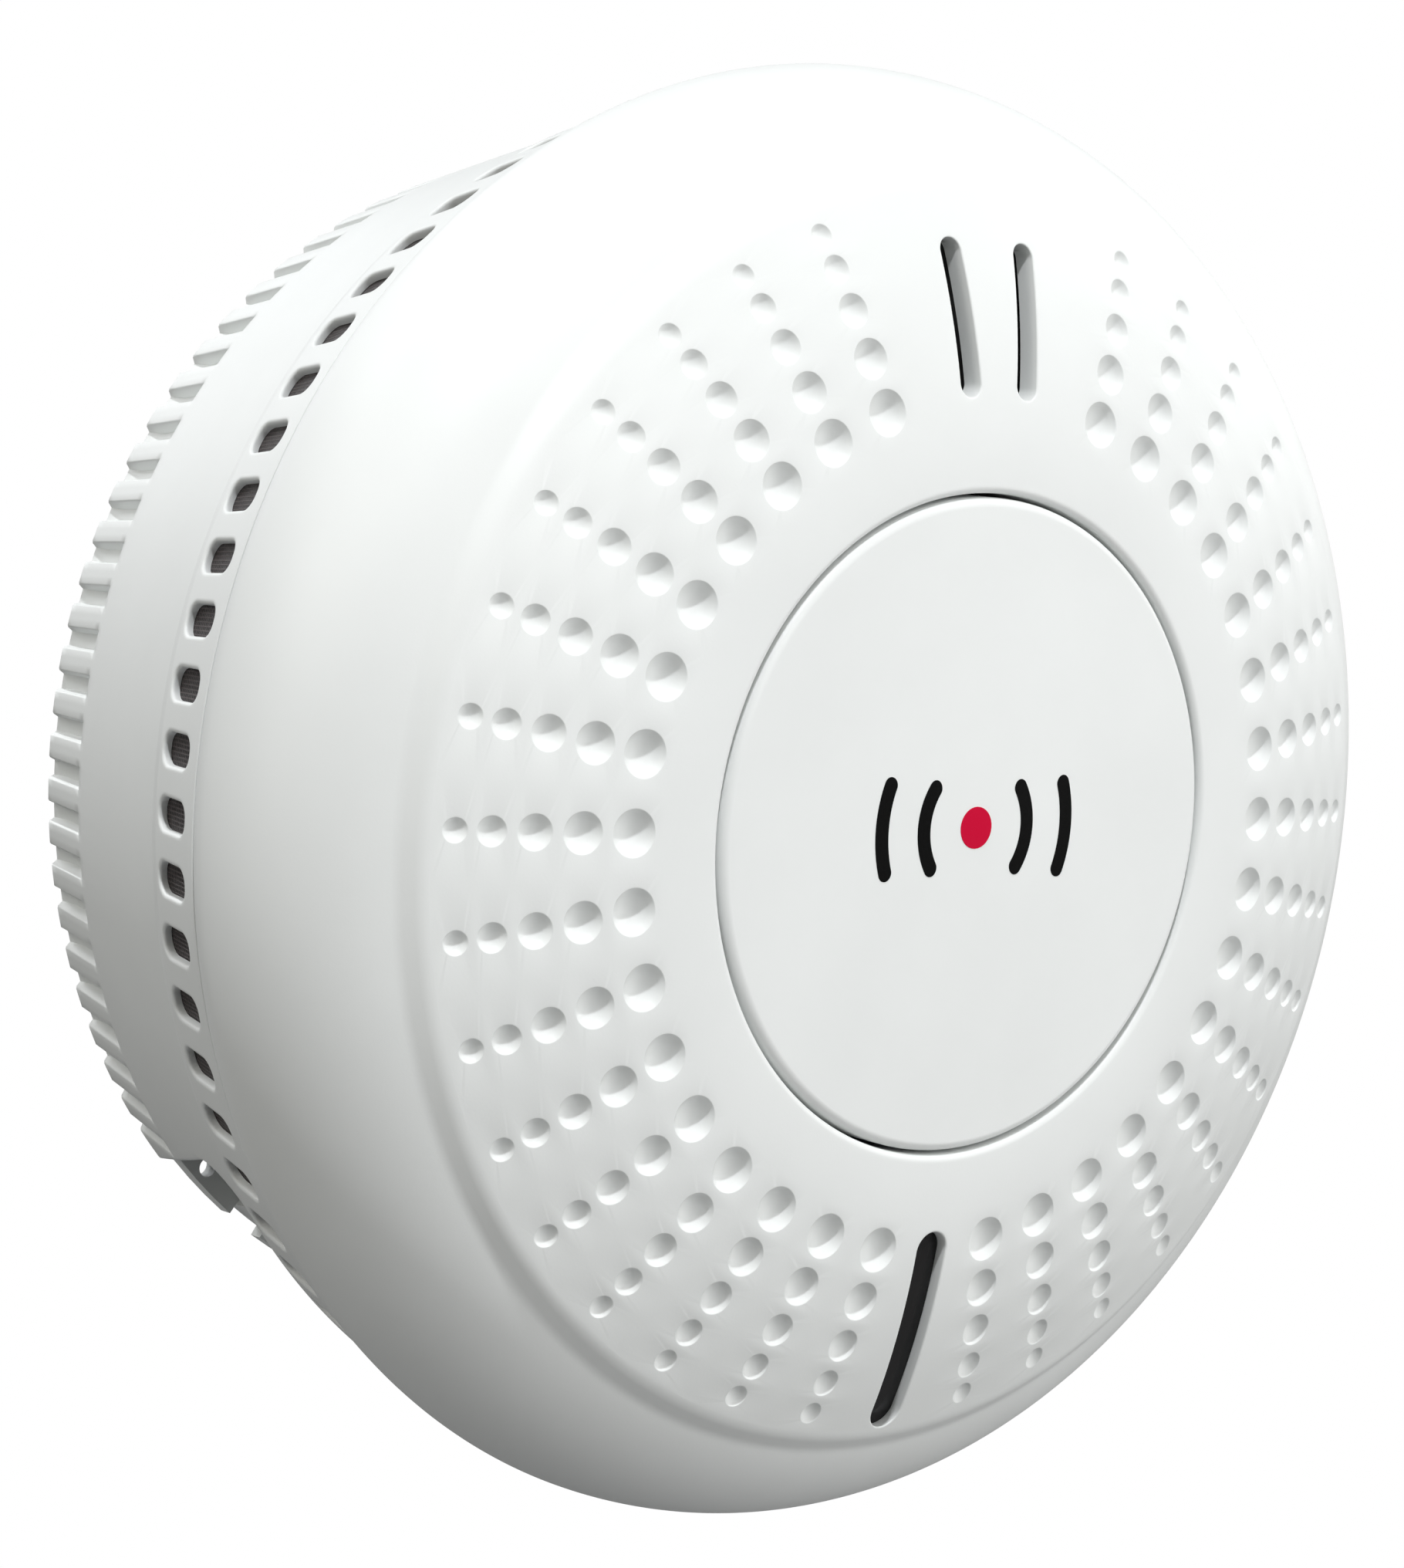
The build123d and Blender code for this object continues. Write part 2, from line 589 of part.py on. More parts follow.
def sounder_cap():
    disc = rod(0, SOUNDER_Z, SOUNDER_RADIUS, SOUNDER_FRONT - 1.0, SOUNDER_FRONT)
    outer, inner = SOUNDER_RADIUS - 1.25, SOUNDER_RADIUS - 2.2
    neck = tube(0, SOUNDER_Z, outer, inner, SOUNDER_FRONT - 2.4, SOUNDER_FRONT - 0.8)
    return disc + neck - rod(0, SOUNDER_Z, 3.0, SOUNDER_FRONT - 3, SOUNDER_FRONT + 1)


def sounder_gasket():
    """Foam ring that seals the sounder to the back of the face around its slots."""
    ring = tube(0, SOUNDER_Z, 9.7, 8.2, SOUNDER_FRONT, FACE_FRONT)
    return ring & under_face(COVER_WALL + 0.05, INNER_FACE_RIM)


# ---------------------------------------------------------------- carbon monoxide sensor

def sensor_pin_centres():
    x, z, _ = SENSOR
    return [(x + 6 * cos(radians(a)), z + 6 * sin(radians(a))) for a in (90, 210, 330)]


def co_sensor_can():
    x, z, radius = SENSOR
    can = rod(x, z, radius, SENSOR_REAR, SENSOR_FRONT)
    return fillet(can.edges().filter_by(GeomType.CIRCLE), 0.6)


def co_sensor_cap():
    x, z, radius = SENSOR
    cup = rod(x, z, radius + 0.9, SENSOR_REAR - 2.0, SENSOR_REAR + 3)
    hollow = rod(x, z, radius + 0.05, SENSOR_REAR - 0.8, SENSOR_REAR + 4)
    centres = [(0, 0)] + [(4.5 * cos(radians(a)), 4.5 * sin(radians(a))) for a in range(0, 360, 60)]
    ports = [rod(x + across, z + up, 1.2, SENSOR_REAR - 3, SENSOR_REAR) for across, up in centres]
    return cup - ([hollow] + ports)


def co_sensor_filter():
    x, z, radius = SENSOR
    return rod(x, z, radius - 1.0, SENSOR_REAR - 0.75, SENSOR_REAR - 0.02)


def co_sensor_pins():
    return Compound([rod(x, z, 0.5, SENSOR_FRONT, PCB_FRONT + 1.2) for x, z in sensor_pin_centres()])


# ---------------------------------------------------------------- cell

def along_x(radius, x0, x1):
    """Round bar along X on the cell's axis."""
    plane = Plane((x0, -CELL_DEPTH, CELL_Z), x_dir=(0, 1, 0), z_dir=(1, 0, 0))
    return extrude(plane * Circle(radius), amount=x1 - x0)


def battery_cell():
    body = along_x(CELL_RADIUS, *CELL_ENDS)
    body = fillet(body.edges().filter_by(GeomType.CIRCLE), 0.5)
    return body + along_x(3.2, CELL_ENDS[1] - 0.5, CELL_ENDS[1] + 1.5)


def battery_holder():
    x0, x1 = CELL_ENDS
    frame = block(x0 - 3.0, x1 + 4.0, CELL_Z - 10, CELL_Z + 10, CELL_DEPTH, PCB_REAR)
    trough = along_x(CELL_RADIUS + 0.1, x0 - 0.9, x1 + 1.95)
    ends = block(x0 - 0.9, x1 + 1.95, CELL_Z - 6, CELL_Z + 6, CELL_DEPTH - 1, PCB_REAR - 2.4)
    return frame - [trough, ends]


def battery_contact_positive():
    x = CELL_ENDS[1] + 1.52
    return block(x, x + 0.4, CELL_Z - 4, CELL_Z + 4, CELL_DEPTH - 5, PCB_REAR - 2.4)


def battery_contact_negative():
    x = CELL_ENDS[0]
    leaf = block(x - 0.85, x - 0.45, CELL_Z - 4, CELL_Z + 4, CELL_DEPTH - 5, PCB_REAR - 2.4)
    return leaf + along_x(2.5, x - 0.5, x - 0.02)


def rating_label():
    return prism(RectangleRounded(30, 22, 1.5), FLOOR_REAR - 0.15, FLOOR_REAR)


# ---------------------------------------------------------------- output

NODES = {
    "mounting_plate": mounting_plate,
    "base_shell": base_shell,
    "vent_screen": vent_screen,
    "front_cover": front_cover,
    "test_button": test_button,
    "button_spring": button_spring,
    "switch_body": switch_body,
    "switch_plunger": switch_plunger,
    "status_lens": status_lens,
    "led_shroud": led_shroud,
    "main_pcb": main_pcb,
    "pcb_screws": pcb_screws,
    "case_screws": case_screws,
    "microcontroller": microcontroller,
    "capacitor": capacitor,
    "transformer": transformer,
    "sounder_housing": sounder_housing,
    "sounder_cap": sounder_cap,
    "sounder_gasket": sounder_gasket,
    "piezo_plate": lambda: rod(0, SOUNDER_Z, SOUNDER_RADIUS - 1.3, 37.0, 37.2),
    "piezo_ceramic": lambda: rod(0, SOUNDER_Z, 7.0, 37.2, 37.4),
    "co_sensor_can": co_sensor_can,
    "co_sensor_cap": co_sensor_cap,
    "co_sensor_filter": co_sensor_filter,
    "co_sensor_pins": co_sensor_pins,
    "battery_cell": battery_cell,
    "battery_holder": battery_holder,
    "battery_contact_positive": battery_contact_positive,
    "battery_contact_negative": battery_contact_negative,
    "rating_label": rating_label,
}
for led_name, led_z in LED_POSITIONS.items():
    NODES[led_name] = lambda z=led_z: led(z)

os.makedirs("parts", exist_ok=True)
for name, make in NODES.items():
    export_step(make(), f"parts/{name}.step")
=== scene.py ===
import math

import bmesh
import bpy
import numpy as np
from mathutils import Matrix, Vector


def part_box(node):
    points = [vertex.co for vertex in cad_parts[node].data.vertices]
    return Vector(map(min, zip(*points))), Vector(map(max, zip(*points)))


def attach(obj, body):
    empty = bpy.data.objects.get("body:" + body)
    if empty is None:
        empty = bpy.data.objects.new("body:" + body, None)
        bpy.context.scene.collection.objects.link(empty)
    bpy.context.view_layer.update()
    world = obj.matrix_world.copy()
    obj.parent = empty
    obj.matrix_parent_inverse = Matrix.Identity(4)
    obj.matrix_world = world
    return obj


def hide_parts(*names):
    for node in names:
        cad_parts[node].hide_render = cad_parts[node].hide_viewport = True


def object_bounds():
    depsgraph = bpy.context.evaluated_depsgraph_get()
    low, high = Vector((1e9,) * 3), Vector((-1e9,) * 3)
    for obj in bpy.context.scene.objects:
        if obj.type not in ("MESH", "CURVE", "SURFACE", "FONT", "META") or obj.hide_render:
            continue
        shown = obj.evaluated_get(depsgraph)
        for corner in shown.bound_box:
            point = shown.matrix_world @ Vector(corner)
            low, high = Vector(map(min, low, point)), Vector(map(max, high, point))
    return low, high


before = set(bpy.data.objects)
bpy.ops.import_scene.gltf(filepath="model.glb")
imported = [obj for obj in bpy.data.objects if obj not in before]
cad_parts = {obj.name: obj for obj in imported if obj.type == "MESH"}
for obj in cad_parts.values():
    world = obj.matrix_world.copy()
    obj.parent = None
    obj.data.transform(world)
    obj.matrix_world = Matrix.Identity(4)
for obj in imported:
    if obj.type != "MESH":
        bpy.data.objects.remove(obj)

# A round wall-mounted carbon monoxide alarm.  Sizes here are millimetres unless a comment says
# otherwise, and meshes are scaled to metres when they are made.  "Depth" is the distance in
# front of the wall, so y = -depth.  Clock angles are degrees seen from the front, 0 is +X,
# and they grow anticlockwise.
MM = 0.001
CAD_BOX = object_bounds()

# Front cover, taken from its packed box where the box says it
COVER_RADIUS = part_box("front_cover")[1].x / MM
CROWN_FRONT = -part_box("test_button")[0].y / MM
COVER_WALL = 2.0
WIDEST_DEPTH = 32.6
FACE_FRONT = 50.83
FACE_FLAT_RADIUS = 24.0
FACE_DOME_RADIUS = 54.5
FACE_EDGE_RADIUS = 46.6
SHOULDER_RADIUS = 13.5
SHOULDER_START = 47.7
SEAM_RADIUS = 54.25
SEAM_DEPTH = 30.1
COLLAR_RADIUS = 26.0
COLLAR_REAR = 44.0
HOLE_RADIUS = 24.35
HOLE_LIP = 0.5
HOLE_STRAIGHT = 48.5             # depth where the hole's straight wall starts, also the button's

# Bowls: radius of each ring and the bowl diameter there; each band of the face holds one ring,
# and the clock angles with a slot or the lens have no bowls
BOWL_RINGS = [(31.63, 3.42), (35.6, 3.0), (39.1, 2.58), (42.1, 2.16), (44.54, 1.78)]
BAND_EDGES = [29.2, 33.615, 37.35, 40.6, 43.32, 46.1]
BOWL_DEPTH_RATIO = 0.3
BOWL_RIM = 0.09
BOWL_FREE_ANGLES = (80, 90, 100, 270)
CELL_ANGLE = 10                  # from one row of bowls to the next
LEVELS = 8                       # half the divisions along one side of a bowl's cell
SLOT_RIM = 0.14
SLOT_WALL = 1.8                  # thickness of the face right round a slot
SLOT_UNDERCUT = 0.5              # how much wider a slot is behind that
STEP_FILLET = 2.2                # softness of the step between the face and the shoulder
STEP_RUN = 0.6                   # how far the step's profile follows the shoulder
SEAM_ROLL = 4.54                 # radius of the cover's edge behind its widest point
SEAM_LIP = [(0.04, 0.13), (-0.04, 0.04), (-0.16, 0)]    # small round where the roll meets the seam
INNER_DOME_RADIUS = 47.2         # where the shoulder's inner wall meets the back of the face
PLAIN_BACKS = [(105, 265), (275, 435)]                  # clock angles between the slots' patches
SLOTS = [                        # clock angle, inner end, outer end, width, patch start, patch end
    (94.8, 31.3, 42.7, 2.0, 90, 105),
    (84.7, 31.3, 42.7, 2.0, 75, 90),
    (269.9, 30.2, 45.8, 2.9, 265, 275),
]

# Test button
BUTTON_RADIUS = 24.05
BUTTON_EDGE = 0.7
BUTTON_EDGE_FRONT = 50.9
BUTTON_REAR = 46.8
BUTTON_UNDER = 48.9
SKIRT_WALL = 1.45
STEM_RADIUS = 3.6
STEM_REAR = 44.35
BUTTON_COLUMNS = 288
CENTRE_DISC = 2.0
PRINT_LIFT = 0.03                # how far the printed mark stands above the button
SIGNAL_ARCS = [(5.2, 34), (9.3, 20)]                    # radius, half the angle
SIGNAL_STROKE = 0.62             # half the width of an arc's line
SIGNAL_DOT = 1.55

# Base shell
BASE_REAR = 0.5
BASE_REAR_RADIUS = 47.0
DRUM_FRONT = (51.8, 21.5)
BAND_REAR = (52.3, 22.6)
BAND_FRONT = (54.1, 29.75)
BAND_WALL = 0.7
GROOVE_FRONT = 28.9              # the insect screen's groove runs from the window patches to here
PLATE_BORE = 46.3
PLATE_LEDGE = 2.4
FLOOR_REAR = 8.5
FLOOR_FRONT = 10.5
BASE_WALL = 2.0
TONGUE = (51.2, 52.7, 34.0)      # inner radius, outer radius, front depth
SEAM_GAP = 0.32                  # how far the base stays behind the cover's edge
BASE_COLUMNS = 720
BASE_COLUMN_START = 0.25

# Vent windows and rim flutes
WINDOW_COUNT = 72
WINDOW_ANGLE = 1.75
WINDOW_HALF = (1.175, 2.4)       # half width round the band, half length along the depth
WINDOW_CORNER = 1.05
WINDOW_DEPTH = 25.6
WINDOW_RIM = 0.26
WINDOW_PATCH = (22.85, 28.55)
WINDOW_ROWS = 14
FLUTE_COUNT = 90
FLUTE_ANGLE = 1.5
FLUTE_CUT = 1.0
FLUTE_FRONT = 6.9
FLUTE_FREE = (218, 252)          # clock angles across the side opening, without flutes
FLUTE_PATTERN = np.array([-1.75, -1.08, -0.93, -0.66, 0.66, 0.93, 1.08, 1.75])     # degrees
FLUTE_SHARE = np.array([0, 0, 0.13, 1, 1, 0.13, 0, 0])  # of the full cut, at each of those
FLUTE_END = ([-0.14, -0.07, 0.08], [1, 0.12, 0])        # depths past the front end, and the cut there
FLUTE_FLOOR = 0.12               # least thickness of the rim under a flute
DRUM_ROWS = [2.4, 3.6, 4.8, 6.0, *(FLUTE_FRONT + past for past in (-0.14, -0.07, 0.08, 0.6)),
             9, 11, 13.5, 16, 18, 19.6]

# Side opening, placed by the clock angle of its middle
OPENING_ANGLE = 230
OPENING_UPPER = 13.4             # how far it reaches up from its middle
OPENING_LOWER = 15.0             # and how far down
OPENING_FRONT = 21.5
OPENING_WIDEST = 16.0            # depth behind which its upper side narrows
OPENING_NECK = 5.2               # how far it reaches up at the wall
OPENING_CORNER = 4.0
OPENING_LIP = 0.6
POCKET_INNER = 37.5              # distance from the alarm's axis to the pocket's end wall
POCKET_WALL = 1.6
POCKET_REAR = FLOOR_REAR + 0.6
POCKET_SINK = 1.0                # how far the pocket's block stays under the drum's surface
CUTTER_FLARE = (0.9, 0.25)       # how far the cutter widens past the lip, and its height there

# Bayonet lugs: clock angles, half width in degrees, radii, depths
LUG_ANGLES = (20, 140, 260)
LUG_HALF = 7.5
LUG_RADII = (41.3, 46.4)
LUG_DEPTHS = (4.0, 5.6)

SHARP_ANGLE = 50                 # edges sharper than this stay sharp
WELD = (0.002, 0.0005)           # points nearer than this join, edges shorter than this go


# ---------------------------------------------------------------- mesh helpers

def place(radius, angle, depth):
    """Points in millimetres from radii, clock angles and depths, as one array."""
    turn = np.radians(angle)
    across, up = radius * np.cos(turn), radius * np.sin(turn)
    return np.stack(np.broadcast_arrays(across, -np.asarray(depth, float), up), axis=-1)


class Skin:
    """Quads gathered from grids of points, welded where the edges of the grids meet."""

    def __init__(self):
        self.points = []
        self.faces = []
        self.total = 0

    def add(self, points):
        first = self.total
        self.points.append(points.reshape(-1, 3))
        self.total += len(self.points[-1])
        return np.arange(first, self.total).reshape(points.shape[:-1])

    def grid(self, points):
        index = self.add(points)
        corners = [index[:-1, :-1], index[1:, :-1], index[1:, 1:], index[:-1, 1:]]
        self.faces.extend(np.stack(corners, axis=-1).reshape(-1, 4).tolist())

    def cap(self, loop):
        """One flat face across a loop of points."""
        self.faces.append(self.add(loop).tolist())

    def slab(self, top, bottom):
        """Closed body between two grids of the same size."""
        self.grid(top)
        self.grid(bottom)
        for edge in (np.s_[0, :], np.s_[-1, :], np.s_[:, 0], np.s_[:, -1]):
            self.grid(np.stack([top[edge], bottom[edge]]))

    def mesh(self, name):
        data = bpy.data.meshes.new(name)
        data.from_pydata(np.concatenate(self.points) * MM, [], self.faces)
        shape = bmesh.new()
        shape.from_mesh(data)
        bmesh.ops.remove_doubles(shape, verts=shape.verts, dist=WELD[0] * MM)
        bmesh.ops.dissolve_degenerate(shape, edges=shape.edges, dist=WELD[1] * MM)
        bmesh.ops.recalc_face_normals(shape, faces=shape.faces)
        shape.to_mesh(data)
        shape.free()
        return data


def piece(name, data, body, material):
    """Object from a mesh, smooth except at sharp edges, riding on a CAD body."""
    thing = bpy.data.objects.new(name, data)
    bpy.context.scene.collection.objects.link(thing)
    data.shade_smooth()
    data.set_sharp_from_angle(angle=math.radians(SHARP_ANGLE))
    thing.modifiers.new("weighted", "WEIGHTED_NORMAL").keep_sharp = True
    data.materials.clear()
    data.materials.append(material)
    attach(thing, body)
    return thing


def rounded(corners, step=12):
    """Points along straight runs between (x, y, fillet radius) corners, with an arc at each fillet."""
    points = []
    for index, (x, y, fillet) in enumerate(corners):
        here = np.array([x, y])
        if not fillet:
            points.append(here)
            continue
        before = np.array(corners[index - 1][:2]) - here
        after = np.array(corners[(index + 1) % len(corners)][:2]) - here
        before = before / np.linalg.norm(before)
        after = after / np.linalg.norm(after)
        half_corner = math.acos(np.clip(before @ after, -1, 1)) / 2
        turn = math.pi - 2 * half_corner
        bisector = (before + after) / np.linalg.norm(before + after)
        centre = here + bisector * fillet / math.sin(half_corner)
        start = here + before * fillet / math.tan(half_corner) - centre
        end = here + after * fillet / math.tan(half_corner) - centre
        count = max(2, math.ceil(math.degrees(turn) / step))
        for share in np.linspace(0, 1, count + 1):
            blend = math.sin((1 - share) * turn) * start + math.sin(share * turn) * end
            points.append(centre + blend / math.sin(turn))
    return np.array(points)


def arc_profile(centre, radius, start, end, count):
    """Points of an arc in (radius, depth), by angles from the outward direction towards the front."""
    turns = np.radians(np.linspace(start, end, count + 1))
    return np.stack([centre[0] + radius * np.cos(turns), centre[1] + radius * np.sin(turns)], axis=-1)


def ring_grid(skin, profile, angles):
    """Turned surface through (radius, depth) points at these clock angles."""
    profile = np.asarray(profile, float)
    skin.grid(place(profile[:, 0, None], np.asarray(angles)[None, :], profile[:, 1, None]))


def patch_border(angles, rows):
    """Closed loop round a patch: along its first row, up, back and down."""
    across = [angles, np.full(len(rows) - 2, angles[-1]), angles[::-1], np.full(len(rows) - 1, angles[0])]
    along = [np.full(len(angles), rows[0]), rows[1:-1], np.full(len(angles), rows[-1]), rows[-2::-1]]
    return np.concatenate(across), np.concatenate(along)


def hole_outline(half_width, half_length, corner, across, along):
    """Rounded rectangle as points and normals, in step with patch_border's loop of the same divisions."""
    sides = [
        ((1, 0), (0, -1), across),
        ((0, 1), (1, 0), along),
        ((-1, 0), (0, 1), across),
        ((0, -1), (-1, 0), along),
    ]
    inner = np.array([half_width - corner, half_length - corner])
    eighth = corner * math.pi / 4
    points, normals = [], []
    for travel, outward, count in sides:
        travel, outward = np.array(travel), np.array(outward)
        straight = 2 * abs(travel @ inner)
        run = np.linspace(0, 2 * eighth + straight, count + 1)
        turn = (np.clip(run, 0, eighth) - eighth + np.clip(run - eighth - straight, 0, eighth)) / corner
        ahead = np.clip(run - eighth, 0, straight) - straight / 2
        normal = np.sin(turn)[:, None] * travel + np.cos(turn)[:, None] * outward
        point = abs(outward @ inner) * outward + ahead[:, None] * travel + corner * normal
        points.append(point[:-1])
        normals.append(normal[:-1])
    points, normals = np.concatenate(points), np.concatenate(normals)
    return np.concatenate([points, points[:1]]), np.concatenate([normals, normals[:1]])


# ---------------------------------------------------------------- front cover

def face_slope(radius):
    return np.maximum(np.asarray(radius, float) - FACE_FLAT_RADIUS, 0) / FACE_DOME_RADIUS


def face_depth(radius, inset=0.0):
    """Depth of the domed face at a radius, or of the surface inset behind it."""
    run = np.maximum(np.asarray(radius, float) - FACE_FLAT_RADIUS, 0)
    return FACE_FRONT - FACE_DOME_RADIUS + np.sqrt((FACE_DOME_RADIUS - inset) ** 2 - run ** 2)


def shoulder_point(radius):
    run = radius - (COVER_RADIUS - SHOULDER_RADIUS)
    return radius, WIDEST_DEPTH + math.sqrt(SHOULDER_RADIUS ** 2 - run ** 2)


def bowl_profile(diameter):
    """Distance from the bowl's centre and depth below the face at each level of its cell."""
    half = diameter / 2
    depth = BOWL_DEPTH_RATIO * diameter
    ball = (half ** 2 + depth ** 2) / (2 * depth)
    rim_centre = math.sqrt((ball + BOWL_RIM) ** 2 - (ball - depth + BOWL_RIM) ** 2)
    meet = math.asin(rim_centre / (ball + BOWL_RIM))
    inside = meet * np.linspace(0, 1, LEVELS - 3)
    rim = meet * np.linspace(1, 0, 4)[1:]
    out = np.concatenate([ball * np.sin(inside), rim_centre - BOWL_RIM * np.sin(rim), [0]])
    down = np.concatenate([ball * np.cos(inside) - (ball - depth), BOWL_RIM * (1 - np.cos(rim)), [0]])
    return out, down


def bowl_cell(skin, ring, angle, low, high):
    """Square cell of the face whose inner levels close in on one round bowl."""
    radius, diameter = ring
    steps = np.arange(-LEVELS, LEVELS + 1)
    i, j = np.meshgrid(steps, steps, indexing="ij")
    level = np.maximum(abs(i), abs(j))
    edge = np.maximum(level, 1)
    along_first = abs(j) >= abs(i)
    turn = math.pi / 4 * np.where(along_first, i, j) / edge
    towards_angle = np.where(along_first, np.sin(turn), np.sign(i) * np.cos(turn))
    towards_rim = np.where(along_first, np.sign(j) * np.cos(turn), np.sin(turn))
    out, down = bowl_profile(diameter)
    flatten = math.sqrt(1 - face_slope(radius) ** 2)
    sideways = out[level] * towards_angle
    outwards = radius + out[level] * towards_rim * flatten
    border = level == LEVELS
    round_angle = angle + np.degrees(np.arctan2(sideways, outwards))
    r = np.where(border, (low + high) / 2 + (high - low) / 2 * j / LEVELS, np.hypot(sideways, outwards))
    a = np.where(border, angle + CELL_ANGLE / 2 * i / LEVELS, round_angle)
    slope = face_slope(r)
    sink = down[level]
    skin.grid(place(r - sink * slope, a, face_depth(r) - sink * np.sqrt(1 - slope ** 2)))


def band_rows():
    """Radii of the face's divisions, in step with the bowl cells."""
    rows = [np.linspace(low, high, 2 * LEVELS + 1)[:-1] for low, high in zip(BAND_EDGES, BAND_EDGES[1:])]
    return np.concatenate(rows + [[BAND_EDGES[-1]]])


def cover_columns(start, end):
    return np.linspace(start, end, round((end - start) / CELL_ANGLE * 2 * LEVELS) + 1)


def slot_patch(skin, angle, inner, outer, width, start, end):
    """Part of the face round one slot, with the slot's soft rim, its walls and the surface behind."""
    rows, columns = band_rows(), cover_columns(start, end)
    border_angle, border_radius = patch_border(columns, rows)
    divisions = len(columns) - 1, len(rows) - 1
    points, normals = hole_outline(width / 2, (outer - inner) / 2, width / 2, *divisions)

    def loop(offset):
        moved = points + offset * normals
        along = moved[:, 1] + (inner + outer) / 2
        return np.hypot(moved[:, 0], along), angle + np.degrees(np.arctan2(moved[:, 0], along))

    front = []
    for share in (1, 0.6, 0.3, 0.1, 0):
        r, a = loop(SLOT_RIM)
        r, a = r + share * (border_radius - r), a + share * (border_angle - a)
        front.append(place(r, a, face_depth(r)))
    for turn in np.radians([22.5, 45, 67.5, 90]):
        r, a = loop(SLOT_RIM * (1 - math.sin(turn)))
        front.append(place(r, a, face_depth(r) - SLOT_RIM * (1 - math.cos(turn))))
    r, a = loop(0)
    for sink in (SLOT_WALL / 2, SLOT_WALL):
        front.append(place(r, a, face_depth(r) - sink))
    r, a = loop(SLOT_UNDERCUT)
    front.append(place(r, a, face_depth(r, COVER_WALL)))
    for share in (0.3, 1):
        back_r, back_a = r + share * (border_radius - r), a + share * (border_angle - a)
        front.append(place(back_r, back_a, face_depth(back_r, COVER_WALL)))
    skin.grid(np.stack(front))


def cover_mesh():
    skin = Skin()
    for angle in range(0, 360, CELL_ANGLE):
        if angle not in BOWL_FREE_ANGLES:
            for ring, low, high in zip(BOWL_RINGS, BAND_EDGES, BAND_EDGES[1:]):
                bowl_cell(skin, ring, angle, low, high)
    for slot in SLOTS:
        slot_patch(skin, *slot)
    rows = band_rows()
    back = np.stack([rows, face_depth(rows, COVER_WALL)], axis=-1)
    for start, end in PLAIN_BACKS:
        ring_grid(skin, back, cover_columns(start, end))
    once_round = cover_columns(CELL_ANGLE / 2, CELL_ANGLE / 2 + 360)
    ring_grid(skin, cover_outside(), once_round)
    ring_grid(skin, cover_hole(), once_round)
    return skin.mesh("front_cover_shell")


def cover_outside():
    """Profile from the outer row of the bowls over the step and shoulder to the back of the face."""
    high = BAND_EDGES[-1]
    step = rounded([
        (high, float(face_depth(high)), 0),
        (FACE_EDGE_RADIUS, float(face_depth(FACE_EDGE_RADIUS)), STEP_FILLET),
        (*shoulder_point(SHOULDER_START), STEP_FILLET),
        (*shoulder_point(SHOULDER_START + STEP_RUN), 0),
    ], step=6)
    shoulder_centre = (COVER_RADIUS - SHOULDER_RADIUS, WIDEST_DEPTH)
    start = math.degrees(math.acos((SHOULDER_START + STEP_RUN - shoulder_centre[0]) / SHOULDER_RADIUS))
    shoulder = arc_profile(shoulder_centre, SHOULDER_RADIUS, start, 0, 28)[1:]
    roll = arc_profile((COVER_RADIUS - SEAM_ROLL, WIDEST_DEPTH), SEAM_ROLL, 0, -30, 8)[1:]
    lip = [(SEAM_RADIUS + out, SEAM_DEPTH + ahead) for out, ahead in SEAM_LIP]
    inner_wall = COVER_RADIUS - COVER_WALL
    seam = [*roll, *lip, (inner_wall, SEAM_DEPTH), (inner_wall, WIDEST_DEPTH)]
    inner_arc = SHOULDER_RADIUS - COVER_WALL
    inner_start = math.degrees(math.acos((INNER_DOME_RADIUS - shoulder_centre[0]) / inner_arc))
    inside = arc_profile(shoulder_centre, inner_arc, 0, inner_start, 10)[1:]
    return np.concatenate([step, shoulder, seam, inside, [(high, float(face_depth(high, COVER_WALL)))]])


def cover_hole():
    """Profile from the inner row of the bowls over the button's hole and collar to the back."""
    first = BAND_EDGES[0]
    mouth = HOLE_RADIUS + HOLE_LIP
    face = [(r, float(face_depth(r))) for r in np.linspace(first, mouth + 0.15, 6)]
    lip_centre = (mouth, float(face_depth(mouth)) - HOLE_LIP)
    lip = arc_profile(lip_centre, HOLE_LIP, 90, 180, 6)
    collar = [(HOLE_RADIUS, HOLE_STRAIGHT), (HOLE_RADIUS, COLLAR_REAR), (COLLAR_RADIUS, COLLAR_REAR)]
    back = [(r, float(face_depth(r, COVER_WALL))) for r in np.linspace(COLLAR_RADIUS, first, 4)]
    return np.concatenate([face, lip, collar, back])


# ---------------------------------------------------------------- test button

def crown_depth(radius):
    """Depth of the button's very slightly domed front."""
    edge = BUTTON_RADIUS - BUTTON_EDGE
    top = CROWN_FRONT - 2 * PRINT_LIFT
    rise = top - BUTTON_EDGE_FRONT
    ball = (edge ** 2 + rise ** 2) / (2 * rise)
    return top - ball + np.sqrt(ball ** 2 - np.asarray(radius, float) ** 2)


